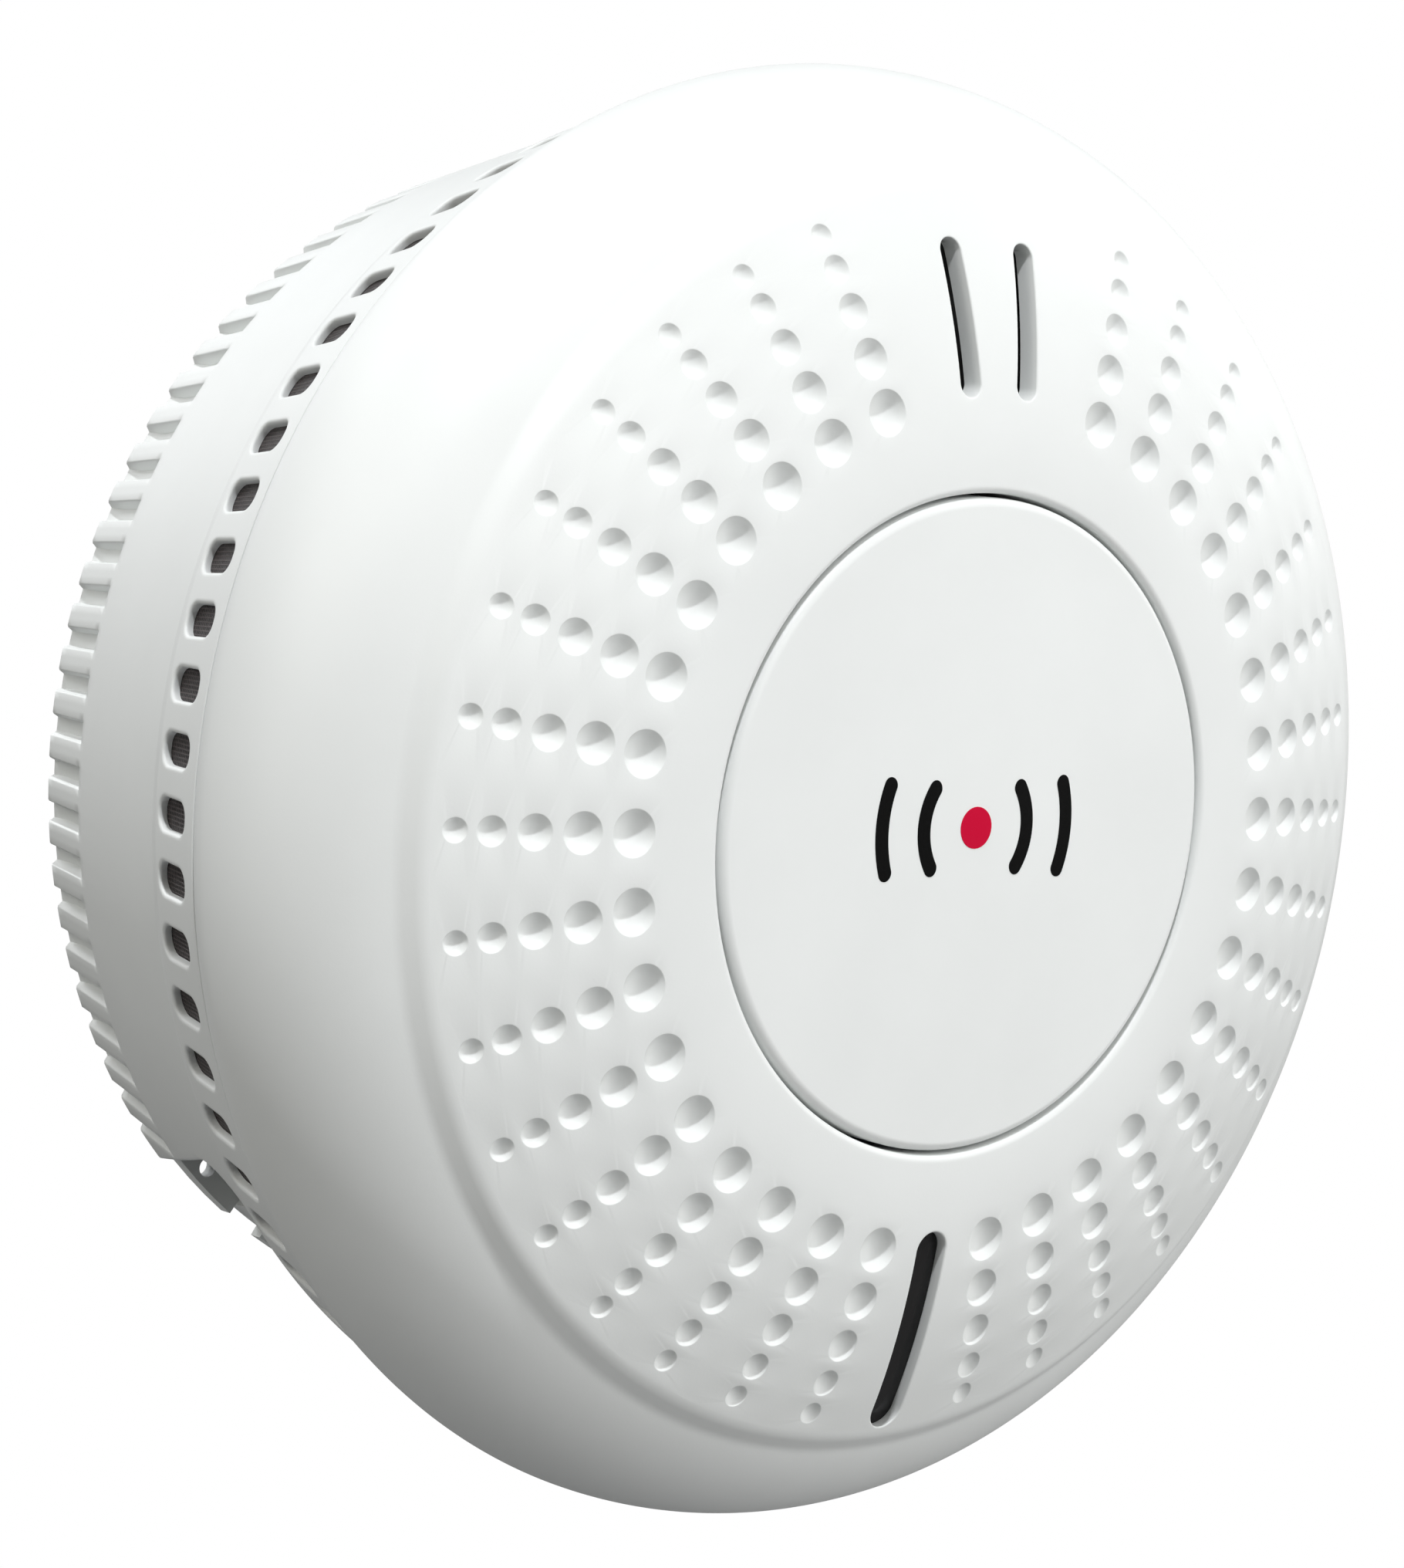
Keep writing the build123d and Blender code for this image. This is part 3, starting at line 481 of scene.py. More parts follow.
def button_mesh():
    skin = Skin()
    columns = np.linspace(0, 360, BUTTON_COLUMNS + 1)
    edge_start = BUTTON_RADIUS - BUTTON_EDGE
    crown = [(r, float(crown_depth(r))) for r in np.linspace(CENTRE_DISC, edge_start, 16)]
    roll_centre = (edge_start, float(crown_depth(edge_start)) - BUTTON_EDGE)
    roll = arc_profile(roll_centre, BUTTON_EDGE, 90, 0, 8)[1:]
    inner = BUTTON_RADIUS - SKIRT_WALL
    skirt = [
        (BUTTON_RADIUS, HOLE_STRAIGHT), (BUTTON_RADIUS, BUTTON_REAR), (inner, BUTTON_REAR),
        (inner, BUTTON_UNDER), (STEM_RADIUS, BUTTON_UNDER), (STEM_RADIUS, STEM_REAR),
    ]
    ring_grid(skin, np.concatenate([crown, roll, skirt]), columns)
    skin.cap(place(STEM_RADIUS, columns[:-1], STEM_REAR))
    centre_disc(skin, CENTRE_DISC, columns, crown_depth)
    return skin.mesh("test_button_cap")


def centre_disc(skin, radius, columns, depth_at):
    """Middle of a turned face, as a few rings and one small flat cap."""
    rings = np.array([radius, 0.6 * radius, 0.3 * radius])
    skin.grid(place(rings[:, None], columns[None, :], depth_at(rings)[:, None]))
    skin.cap(place(rings[-1], columns[:-1], depth_at(rings[-1])))


def stroke(centreline, length, half_width, steps=24):
    """Round-ended printed stroke lying on the button; centreline(s, offset) gives its (x, z)."""
    ends = half_width * (1 - np.cos(np.radians(np.linspace(0, 90, 9))))
    middle = np.linspace(-length / 2, length / 2, steps + 1)[1:-1]
    run = np.concatenate([ends - half_width - length / 2, middle, length / 2 + half_width - ends[::-1]])
    past = np.clip(abs(run) - length / 2, 0, half_width)
    width = np.sqrt(half_width ** 2 - past ** 2)
    offset = width[:, None] * np.linspace(-1, 1, 7)[None, :]
    x, z = centreline(np.broadcast_to(run[:, None], offset.shape), offset)
    surface = crown_depth(np.hypot(x, z))
    skin = Skin()
    top = np.stack([x, -(surface + PRINT_LIFT), z], axis=-1)
    skin.slab(top, top + np.array([0, 2 * PRINT_LIFT, 0]))
    return skin


def arc_line(radius, side):
    """Centreline of an arc about the button's middle, on its left (-1) or right (1)."""
    def line(run, offset):
        turn = run / radius
        return side * (radius + offset) * np.cos(turn), (radius + offset) * np.sin(turn)
    return line


def join(skins, name):
    joined = Skin()
    for skin in skins:
        shift = joined.total
        joined.points.extend(skin.points)
        joined.faces.extend([[index + shift for index in face] for face in skin.faces])
        joined.total += skin.total
    return joined.mesh(name)


def signal_mark():
    """Plain signal sign: a dot between two pairs of arcs."""
    arcs = []
    for radius, half_angle in SIGNAL_ARCS:
        length = 2 * radius * math.radians(half_angle)
        arcs.extend(stroke(arc_line(radius, side), length, SIGNAL_STROKE) for side in (-1, 1))
    dot = stroke(lambda run, offset: (run, offset), 0.02, SIGNAL_DOT, steps=2)
    return join(arcs, "signal_arcs"), join([dot], "signal_dot")


# ---------------------------------------------------------------- base shell

def drum_radius(depth):
    """Outer radius of the tapered drum at a depth."""
    taper = (DRUM_FRONT[0] - BASE_REAR_RADIUS) / (DRUM_FRONT[1] - BASE_REAR)
    return BASE_REAR_RADIUS + taper * (np.asarray(depth, float) - BASE_REAR)


def band_radius(depth):
    """Outer radius of the band with the vent windows at a depth."""
    taper = (BAND_FRONT[0] - BAND_REAR[0]) / (BAND_FRONT[1] - BAND_REAR[1])
    return BAND_REAR[0] + taper * (np.asarray(depth, float) - BAND_REAR[1])


def groove_radius(depth):
    """Bottom of the groove behind the vent windows."""
    return band_radius(depth) - BAND_WALL


def base_columns():
    return BASE_COLUMN_START + np.arange(BASE_COLUMNS + 1) * 360 / BASE_COLUMNS


def flute_columns():
    """Clock angles and share of the full cut for the columns, gathered at the flutes' edges."""
    angles = base_columns()
    cut = np.zeros(len(angles))
    for index in range(FLUTE_COUNT):
        centre = FLUTE_ANGLE + index * 360 / FLUTE_COUNT
        start = centre + FLUTE_PATTERN[0] - BASE_COLUMN_START
        first = round(start * BASE_COLUMNS / 360) % BASE_COLUMNS
        columns = np.arange(first, first + len(FLUTE_PATTERN)) % BASE_COLUMNS
        angles[columns] = centre + FLUTE_PATTERN
        if not FLUTE_FREE[0] < centre < FLUTE_FREE[1]:
            cut[columns] = FLUTE_SHARE
    wrap = angles[:-1] > angles[0] + 360 - 1
    angles[:-1][wrap] -= 360
    angles[-1] = angles[0] + 360
    cut[-1] = cut[0]
    return angles, cut


def base_outer_rows():
    """Drum from its rear rim to the vent band, with the flutes sunk in its rear end."""
    rim = rounded([
        (PLATE_BORE, BASE_REAR, 0),
        (BASE_REAR_RADIUS, BASE_REAR, 0.3),
        (float(drum_radius(1.6)), 1.6, 0),
    ])
    drum = [(float(drum_radius(depth)), depth) for depth in DRUM_ROWS]
    patch = WINDOW_PATCH[0]
    front = rounded([
        (float(drum_radius(20.6)), 20.6, 0),
        (*DRUM_FRONT, 0.7),
        (*BAND_REAR, 0.5),
        (float(band_radius(patch)), patch, 0),
    ], step=8)
    profile = np.concatenate([rim, drum, front])
    radius, depth = profile[:, 0], profile[:, 1]
    fluted, cut = flute_columns()
    # In front of the flutes the columns ease back to even steps
    ease = np.clip((depth - FLUTE_FRONT - 0.7) / 4, 0, 1)[:, None]
    angles = fluted[None, :] * (1 - ease) + base_columns()[None, :] * ease
    ends = np.interp(depth, [FLUTE_FRONT + past for past in FLUTE_END[0]], FLUTE_END[1])
    sunk = FLUTE_CUT * np.minimum(ends[:, None], cut[None, :])
    floor = np.maximum(drum_radius(depth)[:, None] - sunk, PLATE_BORE + FLUTE_FLOOR)
    radius = np.where(sunk > 0, np.minimum(radius[:, None], floor), radius[:, None])
    return place(radius, angles, depth[:, None])


def window_patch(skin, centre, columns, rows):
    """Part of the band round one window, with its soft rim, its walls and the surface behind."""
    border_angle, border_depth = patch_border(columns, rows)
    points, normals = hole_outline(*WINDOW_HALF, WINDOW_CORNER, len(columns) - 1, len(rows) - 1)

    def loop(offset):
        moved = points + offset * normals
        return moved[:, 0], moved[:, 1] + WINDOW_DEPTH

    layers = []
    side, depth = loop(WINDOW_RIM)
    angle = centre + np.degrees(np.arcsin(side / band_radius(depth)))
    for share in (1, 0.5, 0.15, 0):
        a, d = angle + share * (border_angle - angle), depth + share * (border_depth - depth)
        layers.append(place(band_radius(d), a, d))
    for turn in np.radians([30, 60, 90]):
        side, depth = loop(WINDOW_RIM * (1 - math.sin(turn)))
        out = np.sqrt(band_radius(depth) ** 2 - side ** 2) - WINDOW_RIM * (1 - math.cos(turn))
        layers.append(place(np.hypot(out, side), centre + np.degrees(np.arctan2(side, out)), depth))
    inner = np.sqrt(groove_radius(depth) ** 2 - side ** 2)
    for share in (0.5, 1):
        along = out + share * (inner - out)
        a = centre + np.degrees(np.arctan2(side, along))
        layers.append(place(np.hypot(along, side), a, depth))
    for share in (0.4, 1):
        back_a, back_d = a + share * (border_angle - a), depth + share * (border_depth - depth)
        layers.append(place(groove_radius(back_d), back_a, back_d))
    skin.grid(np.stack(layers))


def lug(skin, angle):
    """Bayonet lug inside the rear of the drum."""
    columns = np.linspace(angle - LUG_HALF, angle + LUG_HALF, 17)
    radii = np.array(LUG_RADII)[:, None]
    skin.slab(*(place(radii, columns[None, :], depth) for depth in LUG_DEPTHS))


def drum_mesh():
    skin = Skin()
    columns = base_columns()
    skin.grid(base_outer_rows())
    rows = np.linspace(*WINDOW_PATCH, WINDOW_ROWS + 1)
    per_window = BASE_COLUMNS // WINDOW_COUNT
    for index in range(WINDOW_COUNT):
        centre = WINDOW_ANGLE + index * 360 / WINDOW_COUNT
        own = centre + np.linspace(-0.5, 0.5, per_window + 1) * 360 / WINDOW_COUNT
        window_patch(skin, centre, own, rows)
    front = WINDOW_PATCH[1]
    tongue_inner, tongue_outer, tongue_front = TONGUE
    ring_grid(skin, rounded([
        (float(band_radius(front)), front, 0),
        (float(band_radius(29.2)), 29.2, 0),
        (*BAND_FRONT, 0.08),
        (SEAM_RADIUS - 0.5, SEAM_DEPTH - SEAM_GAP, 0),
        (tongue_outer, SEAM_DEPTH - SEAM_GAP, 0),
        (tongue_outer, tongue_front, 0),
        (tongue_inner, tongue_front, 0),
        (tongue_inner, GROOVE_FRONT, 0),
        (float(groove_radius(GROOVE_FRONT)), GROOVE_FRONT, 0),
        (float(groove_radius(front)), front, 0),
    ]), columns)
    rear = WINDOW_PATCH[0]
    floor_edge = float(drum_radius(FLOOR_FRONT)) - BASE_WALL
    inside = np.array([rear, 20, 16, FLOOR_FRONT])
    inner = np.stack([drum_radius(inside) - BASE_WALL, inside], axis=-1)
    ring_grid(skin, [(float(groove_radius(rear)), rear), *inner], columns)
    skin.cap(place(floor_edge, columns[:-1], FLOOR_FRONT))
    rear_wall = float(drum_radius(FLOOR_REAR)) - BASE_WALL
    ledge = float(drum_radius(PLATE_LEDGE)) - BASE_WALL
    rear_angles = flute_columns()[0]
    recess = [
        (PLATE_BORE, BASE_REAR),
        (PLATE_BORE, PLATE_LEDGE),
        (ledge, PLATE_LEDGE),
        (rear_wall, FLOOR_REAR),
    ]
    ring_grid(skin, recess, rear_angles)
    skin.cap(place(rear_wall, rear_angles[:-1], FLOOR_REAR))
    return skin.mesh("drum")


def opening_outline(grow=0.0, rear=-1.0):
    """Side opening as (width, depth) points; its upper side narrows towards the wall."""
    upper, lower, front = -OPENING_UPPER - grow, OPENING_LOWER + grow, OPENING_FRONT + grow
    return rounded([
        (-OPENING_NECK - grow, rear, 0),
        (lower, rear, 0),
        (lower, front, OPENING_CORNER + grow),
        (upper, front, OPENING_CORNER + grow),
        (upper, OPENING_WIDEST, OPENING_CORNER + grow),
    ], step=7)


def densify(loop, longest=0.8):
    """Loop with extra points on its long straight runs."""
    points = []
    for here, after in zip(loop, np.roll(loop, -1, axis=0)):
        count = max(1, math.ceil(np.linalg.norm(after - here) / longest))
        points.extend(here + (after - here) * step / count for step in range(count))
    return np.array(points)


def loop_normals(loop):
    """Unit vectors pointing out of an anticlockwise loop."""
    along = np.roll(loop, -1, axis=0) - np.roll(loop, 1, axis=0)
    normal = np.stack([along[:, 1], -along[:, 0]], axis=-1)
    return normal / np.linalg.norm(normal, axis=1, keepdims=True)


def radial_loop(loop, out):
    """Closed row of points: (width, depth) at a distance out along the opening's direction."""
    width, depth = loop[:, 0], loop[:, 1]
    row = place(np.hypot(out, width), OPENING_ANGLE + np.degrees(np.arctan2(width, out)), depth)
    return np.concatenate([row, row[:1]])


def skin_height(loop, sink=0.0):
    """Distance out at which the drum's surface lies over (width, depth) points."""
    radius = np.where(loop[:, 1] > DRUM_FRONT[1], band_radius(loop[:, 1]), drum_radius(loop[:, 1]))
    return np.sqrt(radius ** 2 - loop[:, 0] ** 2) - sink


def opening_cutter():
    """Tool that cuts the side opening and flares at the surface, which leaves a rounded lip."""
    base = densify(opening_outline())
    normals = loop_normals(base)
    rows = [
        radial_loop(base, np.full(len(base), POCKET_INNER)),
        radial_loop(base, skin_height(base, OPENING_LIP)),
    ]
    for turn in np.radians([20, 40, 60, 78]):
        moved = base + normals * OPENING_LIP * (1 - math.cos(turn))
        rows.append(radial_loop(moved, skin_height(moved, OPENING_LIP * (1 - math.sin(turn)))))
    widen, height = CUTTER_FLARE
    moved = base + normals * (OPENING_LIP + widen)
    rows.append(radial_loop(moved, skin_height(moved, -height)))
    rows.append(radial_loop(moved, np.full(len(moved), COVER_RADIUS + 8)))
    skin = Skin()
    skin.grid(np.stack(rows))
    skin.cap(rows[0][:-1])
    skin.cap(rows[-1][:-1])
    return skin.mesh("opening_cutter")


def pocket_block():
    """Solid that becomes the pocket's walls once the opening is cut through it."""
    grown = densify(opening_outline(POCKET_WALL, POCKET_REAR))
    within = grown - loop_normals(grown) * 2 * POCKET_WALL
    rows = [
        radial_loop(grown, np.full(len(grown), POCKET_INNER - POCKET_WALL)),
        radial_loop(grown, skin_height(grown, POCKET_SINK)),
        radial_loop(within, skin_height(within, POCKET_SINK)),
    ]
    skin = Skin()
    skin.grid(np.stack(rows))
    skin.cap(rows[0][:-1])
    skin.cap(rows[-1][:-1])
    return skin.mesh("pocket_block")


def combined(data, tool, operation):
    """Mesh after an exact Boolean with another mesh."""
    first = bpy.data.objects.new("boolean_a", data)
    second = bpy.data.objects.new("boolean_b", tool)
    for thing in (first, second):
        bpy.context.scene.collection.objects.link(thing)
    change = first.modifiers.new("cut", "BOOLEAN")
    change.operation = operation
    change.solver = "EXACT"
    change.object = second
    bpy.context.view_layer.update()
    evaluated = first.evaluated_get(bpy.context.evaluated_depsgraph_get())
    made = bpy.data.meshes.new_from_object(evaluated)
    bpy.data.objects.remove(first)
    bpy.data.objects.remove(second)
    return made


def base_mesh():
    data = combined(drum_mesh(), pocket_block(), "UNION")
    data = combined(data, opening_cutter(), "DIFFERENCE")
    data.name = "base_shell_moulding"
    return data


def lugs_mesh():
    skin = Skin()
    for angle in LUG_ANGLES:
        lug(skin, angle)
    return skin.mesh("bayonet_lugs")


# ---------------------------------------------------------------- materials

class Surface:
    """Material under construction: its principled shader, and nodes linked to it one by one."""

    def __init__(self, name, **constants):
        self.material = bpy.data.materials.new(name)
        self.material.use_nodes = True
        self.nodes = self.material.node_tree.nodes
        self.links = self.material.node_tree.links
        self.shader = self.nodes["Principled BSDF"]
        for key, value in constants.items():
            self.shader.inputs[key.replace("_", " ")].default_value = value
        self.place = self.nodes.new("ShaderNodeTexCoord").outputs["Object"]

    def add(self, kind, **sockets):
        """New node with some inputs set to constants or linked to other nodes' outputs."""
        node = self.nodes.new(kind)
        for key, value in sockets.items():
            socket = node.inputs[key.replace("_", " ")]
            if isinstance(value, bpy.types.NodeSocket):
                self.links.new(value, socket)
            else:
                socket.default_value = value
        return node

    def noise(self, size, detail=2.0, stretch=(1, 1, 1)):
        """Noise whose features are this many millimetres across, squeezed along some axes."""
        mapping = self.add("ShaderNodeMapping", Vector=self.place, Scale=stretch)
        source = mapping.outputs["Vector"]
        made = self.add("ShaderNodeTexNoise", Vector=source, Scale=1 / (size * MM), Detail=detail)
        return made.outputs["Fac"]

    def spread(self, value, low, high, start=0.3, end=0.7):
        limits = {"From_Min": start, "From_Max": end, "To_Min": low, "To_Max": high}
        return self.add("ShaderNodeMapRange", Value=value, **limits).outputs["Result"]

    def tones(self, value, dark, light, start=0.3, end=0.7):
        ramp = self.add("ShaderNodeValToRGB", Fac=value)
        ramp.color_ramp.elements[0].position = start
        ramp.color_ramp.elements[1].position = end
        ramp.color_ramp.elements[0].color = (*dark, 1)
        ramp.color_ramp.elements[1].color = (*light, 1)
        return ramp.outputs["Color"]

    def colour(self, output):
        self.links.new(output, self.shader.inputs["Base Color"])

    def roughness(self, output):
        self.links.new(output, self.shader.inputs["Roughness"])

    def relief(self, output, height):
        """Bump of this many millimetres."""
        bump = self.add("ShaderNodeBump", Height=output, Strength=1.0, Distance=height * MM)
        self.links.new(bump.outputs["Normal"], self.shader.inputs["Normal"])


def shade(colour, factor):
    return tuple(min(channel * factor, 1) for channel in colour)


def plastic(name, colour, roughness=0.5, grain=0.2, bump=0.004, tint=0.02, specular=0.5):
    """Moulded plastic: fine spark-eroded grain, faint clouding and slightly uneven gloss."""
    surface = Surface(name, Specular_IOR_Level=specular)
    cloud, fine = surface.noise(14, 3), surface.noise(grain)
    surface.colour(surface.tones(cloud, shade(colour, 1 - tint), shade(colour, 1 + tint)))
    surface.roughness(surface.spread(fine, roughness - 0.07, roughness + 0.07))
    surface.relief(fine, bump)
    return surface.material


def metal(name, colour, roughness=0.3, stretch=(1, 1, 1), grain=0.15, bump=0.002):
    """Metal with fine marks, drawn out where stretch squeezes an axis, and a little tarnish."""
    surface = Surface(name, Metallic=1.0)
    marks, tarnish = surface.noise(grain, 3, stretch), surface.noise(3, 3)
    surface.colour(surface.tones(tarnish, shade(colour, 0.82), colour))
    surface.roughness(surface.spread(marks, roughness - 0.1, roughness + 0.12))
    surface.relief(marks, bump)
    return surface.material


def foam():
    # Near black: partly the foam's own colour and partly painted shade for the sound slots it sits
    # behind.
    surface = Surface("closed_cell_foam", Specular_IOR_Level=0.2)
    voronoi = surface.add("ShaderNodeTexVoronoi", Vector=surface.place, Scale=1 / (0.35 * MM))
    cells = voronoi.outputs["Distance"]
    surface.colour(surface.tones(cells, (0.008, 0.008, 0.008), (0.03, 0.03, 0.03), 0.1, 0.6))
    surface.roughness(surface.spread(cells, 0.8, 0.95))
    surface.relief(cells, 0.08)
    return surface.material


def board():
    """Green solder mask over copper tracks, seen as slightly raised, lighter lines."""
    surface = Surface("solder_mask", Specular_IOR_Level=0.5, Coat_Weight=0.3)
    turned = surface.add("ShaderNodeMapping", Vector=surface.place, Rotation=(math.pi / 2, 0, 0))
    tracks = surface.add("ShaderNodeTexBrick", Vector=turned.outputs["Vector"], Scale=1 / (6 * MM),
                         Mortar_Size=0.05)
    cloud = surface.noise(2.5, 3)
    mask = surface.tones(cloud, (0.006, 0.07, 0.025), (0.01, 0.1, 0.04))
    copper = surface.tones(cloud, (0.02, 0.15, 0.05), (0.03, 0.2, 0.07))
    mixed = surface.add("ShaderNodeMix")
    mixed.data_type = "RGBA"
    surface.links.new(tracks.outputs["Fac"], mixed.inputs[0])
    surface.links.new(mask, mixed.inputs[6])
    surface.links.new(copper, mixed.inputs[7])
    surface.colour(mixed.outputs[2])
    surface.roughness(surface.spread(cloud, 0.25, 0.4))
    surface.relief(tracks.outputs["Fac"], 0.03)
    return surface.material


WEAVE_RADIUS = 52                # where the wires that cross the band stand one pitch apart


def woven(name, pitch, wire, gap_shade, height, roughness=0.5):
    """Cloth or mesh: wires crossing round the alarm's axis and along its depth, with the gaps between the
    wires painted near black as painted shade seen through them.
    """
    surface = Surface(name)
    parts = surface.add("ShaderNodeSeparateXYZ", Vector=surface.place)
    turn = surface.add("ShaderNodeMath")
    turn.operation = "ARCTAN2"
    surface.links.new(parts.outputs["Z"], turn.inputs[0])
    surface.links.new(parts.outputs["X"], turn.inputs[1])
    threads = []
    wires_round = WEAVE_RADIUS / pitch
    for value, scale in ((turn.outputs[0], wires_round), (parts.outputs["Y"], 1 / (pitch * MM))):
        scaled = surface.add("ShaderNodeMath")
        scaled.operation = "MULTIPLY"
        surface.links.new(value, scaled.inputs[0])
        scaled.inputs[1].default_value = scale
        bounce = surface.add("ShaderNodeMath")
        bounce.operation = "PINGPONG"
        surface.links.new(scaled.outputs[0], bounce.inputs[0])
        bounce.inputs[1].default_value = 0.5
        threads.append(bounce.outputs[0])
    weave = surface.add("ShaderNodeMath")
    weave.operation = "MINIMUM"
    surface.links.new(threads[0], weave.inputs[0])
    surface.links.new(threads[1], weave.inputs[1])
    surface.colour(surface.tones(weave.outputs[0], wire, gap_shade, 0.1, 0.22))
    surface.roughness(surface.spread(surface.noise(0.3), roughness - 0.08, roughness + 0.08))
    surface.relief(surface.spread(weave.outputs[0], 1, 0, 0.0, 0.25), height)
    return surface.material


def lamp(name, colour):
    """Tinted clear resin with faint flow lines."""
    surface = Surface(name, Transmission_Weight=0.7, IOR=1.5)
    flow = surface.noise(0.8, 2, (1, 0.3, 1))
    surface.colour(surface.tones(flow, shade(colour, 0.8), colour))
    surface.roughness(surface.spread(flow, 0.06, 0.16))
    surface.relief(flow, 0.004)
    return surface.material


def winding():
    """Enamelled wire laid turn on turn round the coil."""
    surface = Surface("enamelled_winding", Metallic=0.8, Coat_Weight=0.4)
    turns = surface.add("ShaderNodeTexWave", Vector=surface.place, Scale=1 / (1.1 * MM), Distortion=0.4)
    turns.bands_direction = "Y"
    surface.colour(surface.tones(turns.outputs["Fac"], (0.16, 0.05, 0.02), (0.5, 0.19, 0.08), 0.2, 0.8))
    surface.roughness(surface.spread(surface.noise(0.4), 0.25, 0.4))
    surface.relief(turns.outputs["Fac"], 0.06)
    return surface.material


WHITE = (0.83, 0.848, 0.84)
CASING = plastic("casing_plastic", WHITE)
BUTTON = plastic("button_plastic", WHITE, roughness=0.46, bump=0.003)
PLATE = plastic("plate_plastic", (0.78, 0.8, 0.79), roughness=0.55, bump=0.006)
INK = plastic("black_ink", (0.004, 0.004, 0.004), roughness=0.7, tint=0.3, specular=0.05)
RED_INK = plastic("crimson_ink", (0.62, 0.004, 0.04), roughness=0.7, tint=0.08, specular=0.05)
SMOKED = plastic("smoked_lens", (0.006, 0.0055, 0.006), roughness=0.16, grain=0.4, bump=0.001,
                 tint=0.3, specular=0.3)
BLACK = plastic("black_plastic", (0.018, 0.017, 0.018), roughness=0.5, tint=0.2)
LABEL = plastic("label_paper", (0.74, 0.74, 0.71), roughness=0.6, grain=0.1, bump=0.003, tint=0.03)
CERAMIC = plastic("ceramic", (0.7, 0.67, 0.58), roughness=0.6, grain=0.12, bump=0.006, tint=0.06)
SLEEVE = plastic("shrink_sleeve", (0.03, 0.07, 0.16), roughness=0.3, grain=1.5, bump=0.02, tint=0.2)
STEEL = metal("bright_steel", (0.6, 0.6, 0.61), stretch=(1, 0.1, 1))
SPRING = metal("spring_wire", (0.52, 0.52, 0.54), roughness=0.22, grain=0.08)
BRASS = metal("rolled_brass", (0.66, 0.46, 0.18), stretch=(0.08, 1, 1))
NODE_MATERIALS = {
    "mounting_plate": PLATE, "co_sensor_cap": PLATE, "status_lens": SMOKED, "rating_label": LABEL,
    # The insect screen's dark wires are partly its own colour and partly painted shade for the dark
    # inside the vent windows; its near-black gaps are painted shade.
    "vent_screen": woven("insect_screen_painted_shade", 0.32, (0.11, 0.09, 0.09), (0.012, 0.01, 0.01), 0.1),
    "co_sensor_filter": woven("charcoal_cloth", 0.5, (0.05, 0.05, 0.05), (0.01, 0.01, 0.01), 0.1, 0.85),
    "sounder_gasket": foam(), "main_pcb": board(), "transformer": winding(),
    "piezo_plate": BRASS, "piezo_ceramic": CERAMIC, "switch_plunger": CERAMIC, "button_spring": SPRING,
    "battery_cell": SLEEVE, "capacitor": SLEEVE,
    "led_green": lamp("lamp_green", (0.1, 0.6, 0.2)), "led_amber": lamp("lamp_amber", (0.8, 0.42, 0.04)),
    "led_red": lamp("lamp_red", (0.7, 0.04, 0.03)),
}
# The sounder's housing and cap are black partly as their own colour and partly as painted shade inside
# the sound slots.
for name in ("switch_body", "led_shroud", "microcontroller", "sounder_housing", "sounder_cap",
             "battery_holder"):
    NODE_MATERIALS[name] = BLACK
for name in ("pcb_screws", "case_screws", "co_sensor_can", "co_sensor_pins", "battery_contact_positive",
             "battery_contact_negative"):
    NODE_MATERIALS[name] = STEEL
for name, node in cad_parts.items():
    node.data.materials.clear()
    node.data.materials.append(NODE_MATERIALS.get(name, CASING))

# ---------------------------------------------------------------- pieces

cover = piece("front_cover_shell", cover_mesh(), "alarm", CASING)
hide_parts("front_cover")
base = piece("base_shell_moulding", base_mesh(), "alarm", CASING)
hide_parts("base_shell")
piece("bayonet_lugs", lugs_mesh(), "alarm", CASING)
button = piece("test_button_cap", button_mesh(), "button", BUTTON)
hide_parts("test_button")
arcs, dot = signal_mark()
piece("signal_arcs", arcs, "button", INK)
piece("signal_dot", dot, "button", RED_INK)


# ---------------------------------------------------------------- stage

# Camera: its place in millimetres, where it looks, which way is up for it, and its focal length
CAMERA_PLACE = Vector((-238.73, -293.40, 35.42))
CAMERA_FORWARD = Vector((0.65564, 0.74860, -0.09872))
CAMERA_UP = Vector((0.01088, 0.12136, 0.99255))
CAMERA_LENS = 107.38

# Lights: name, degrees round from straight in front (90 is to the right seen from there),
# degrees of height, watts, size in metres and colour
LIGHT_DISTANCE = 1.5             # metres from the alarm's middle
COOL = (0.965, 0.98, 1.0)
NEUTRAL = (1.0, 1.0, 0.99)
WARM = (1.0, 0.985, 0.93)
STUDIO = [
    ("key", 319, 61, 12.8, 0.06, COOL),
    ("front", 0, 25, 9.9, 1.0, NEUTRAL),
    ("front_right", 45, 25, 2.2, 1.0, NEUTRAL),
    ("front_right_low", 45, 0, 6.6, 1.0, NEUTRAL),
    ("right", 90, 25, 7.6, 1.0, NEUTRAL),
    ("left", 270, 25, 7.8, 1.0, WARM),
    ("behind_left_high", 225, 50, 4.9, 0.4, COOL),
    ("behind", 180, 25, 6.0, 1.0, COOL),
]

FLOOR_DROP = 0.6                 # metres below the alarm's middle
FLOOR_RADIUS = 12
FLOOR_GREY = 0.25
WORLD_STRENGTH = 0.02            # of the light from all around; the camera sees plain white


def camera():
    data = bpy.data.cameras.new("camera")
    data.lens = CAMERA_LENS
    data.sensor_width = 36
    data.clip_start = 0.01
    data.clip_end = 50
    thing = bpy.data.objects.new("camera", data)
    right = CAMERA_FORWARD.cross(CAMERA_UP).normalized()
    turn = Matrix((right, right.cross(CAMERA_FORWARD), -CAMERA_FORWARD)).transposed()
    thing.matrix_world = Matrix.Translation(CAMERA_PLACE * MM) @ turn.to_4x4()
    bpy.context.scene.collection.objects.link(thing)
    bpy.context.scene.camera = thing


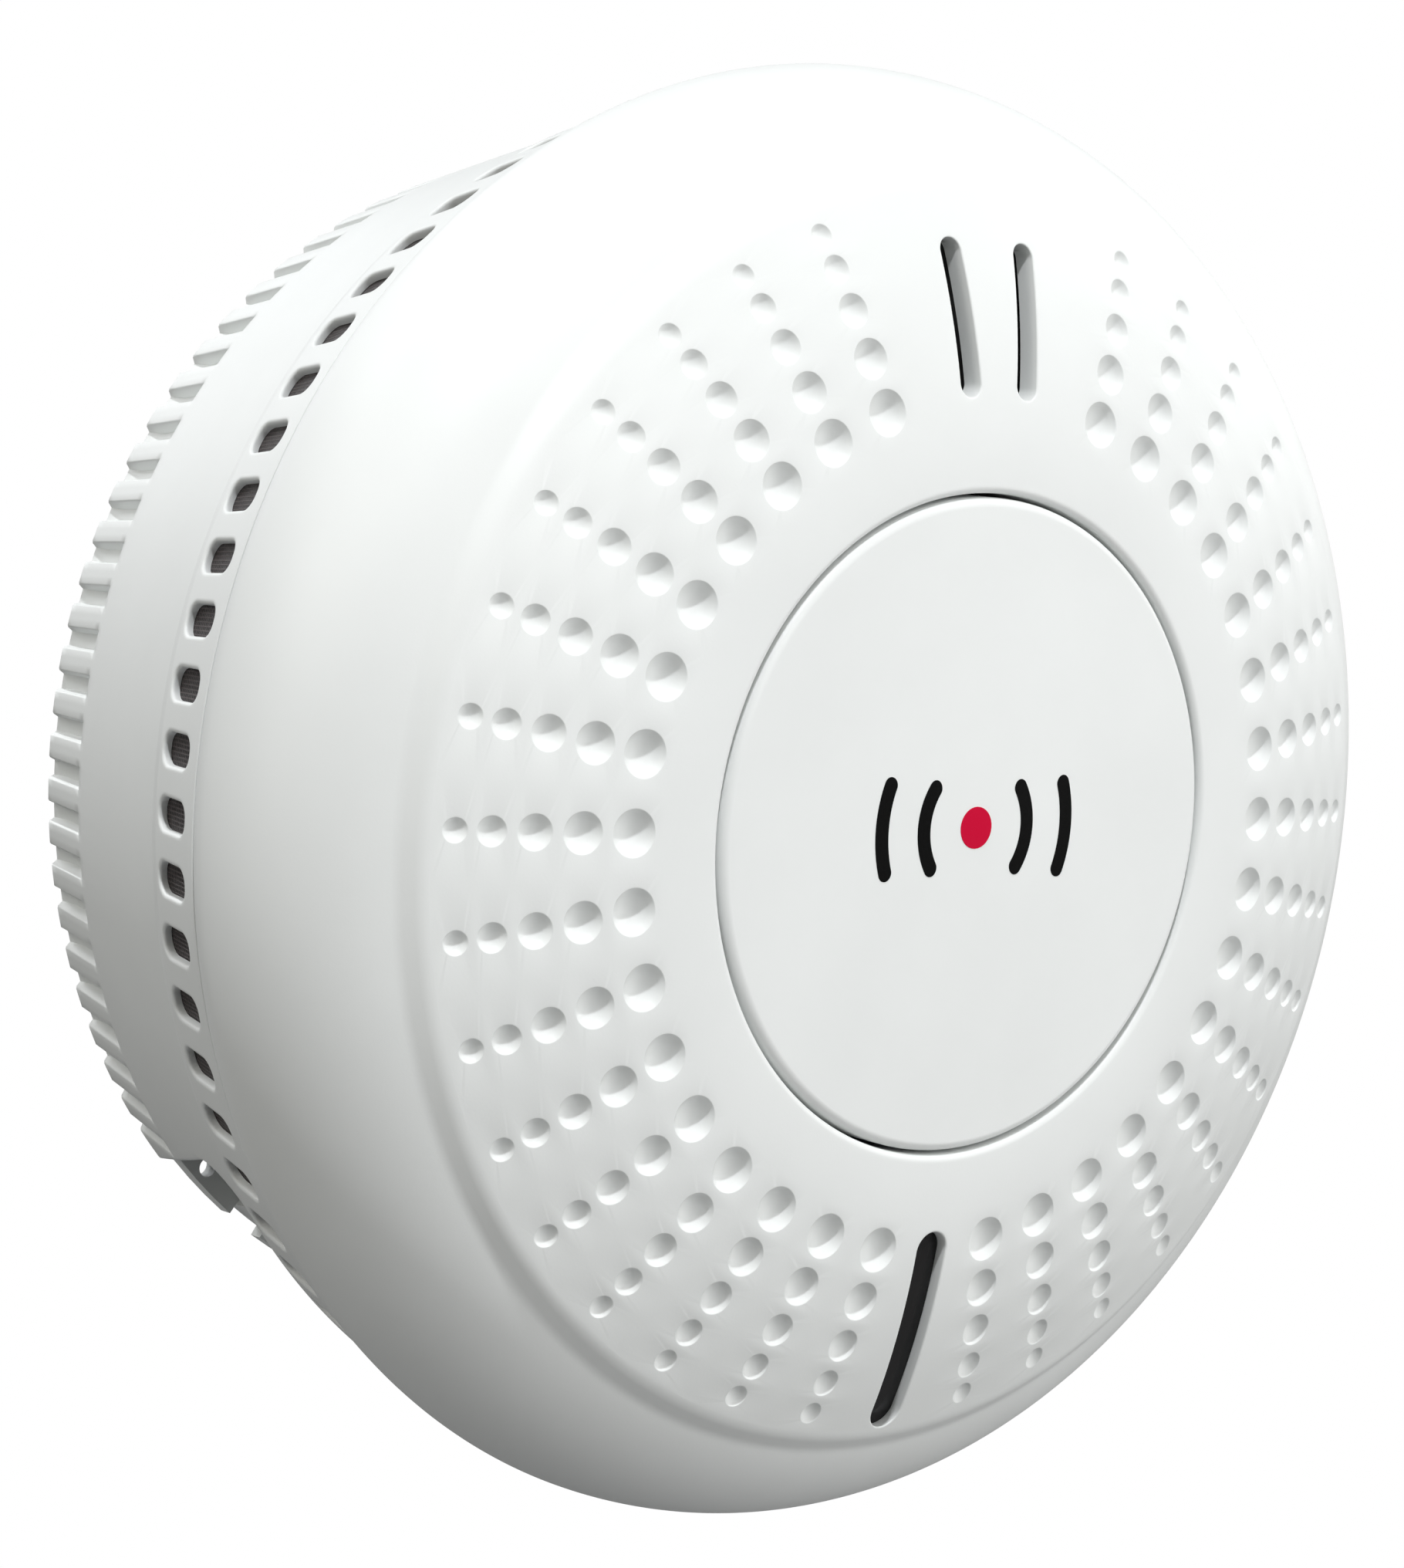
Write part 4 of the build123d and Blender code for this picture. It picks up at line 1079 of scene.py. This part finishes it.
def area_light(name, azimuth, elevation, strength, size, colour):
    """Square soft light aimed at the alarm."""
    data = bpy.data.lights.new(name, "AREA")
    data.energy = strength
    data.size = size
    data.color = colour
    thing = bpy.data.objects.new(name, data)
    turn, rise = math.radians(azimuth), math.radians(elevation)
    level = math.cos(rise)
    towards = Vector((math.sin(turn) * level, -math.cos(turn) * level, math.sin(rise))).normalized()
    centre = (CAD_BOX[0] + CAD_BOX[1]) / 2
    thing.location = centre + towards * LIGHT_DISTANCE
    thing.rotation_mode = "QUATERNION"
    thing.rotation_quaternion = (-towards).to_track_quat("-Z", "Y")
    bpy.context.scene.collection.objects.link(thing)


def seen_and_lit(tree, seen, lit, target):
    """Shows one shader to the camera and lets another light the alarm."""
    path = tree.nodes.new("ShaderNodeLightPath")
    mix = tree.nodes.new("ShaderNodeMixShader")
    tree.links.new(path.outputs["Is Camera Ray"], mix.inputs["Fac"])
    tree.links.new(lit.outputs[0], mix.inputs[1])
    tree.links.new(seen.outputs[0], mix.inputs[2])
    tree.links.new(mix.outputs[0], target.inputs["Surface"])


def stage():
    """Plain white floor far below the alarm, under a plain white studio."""
    floor_mesh = bpy.data.meshes.new("floor")
    shape = bmesh.new()
    bmesh.ops.create_circle(shape, cap_ends=True, segments=96, radius=FLOOR_RADIUS)
    shape.to_mesh(floor_mesh)
    shape.free()
    floor = bpy.data.objects.new("floor", floor_mesh)
    floor.location = (0, 0, -FLOOR_DROP)
    material = bpy.data.materials.new("floor")
    material.use_nodes = True
    tree = material.node_tree
    lit = tree.nodes["Principled BSDF"]
    lit.inputs["Base Color"].default_value = (FLOOR_GREY, FLOOR_GREY, FLOOR_GREY, 1)
    white = tree.nodes.new("ShaderNodeEmission")
    seen_and_lit(tree, white, lit, tree.nodes["Material Output"])
    floor_mesh.materials.append(material)
    bpy.context.scene.collection.objects.link(floor)
    world = bpy.data.worlds.new("studio")
    world.use_nodes = True
    tree = world.node_tree
    lit = tree.nodes["Background"]
    lit.inputs["Color"].default_value = (1, 1, 1, 1)
    lit.inputs["Strength"].default_value = WORLD_STRENGTH
    white = tree.nodes.new("ShaderNodeBackground")
    white.inputs["Color"].default_value = (1, 1, 1, 1)
    seen_and_lit(tree, white, lit, tree.nodes["World Output"])
    bpy.context.scene.world = world


camera()
stage()
for light in STUDIO:
    area_light(*light)
bpy.context.scene.view_settings.view_transform = "Standard"
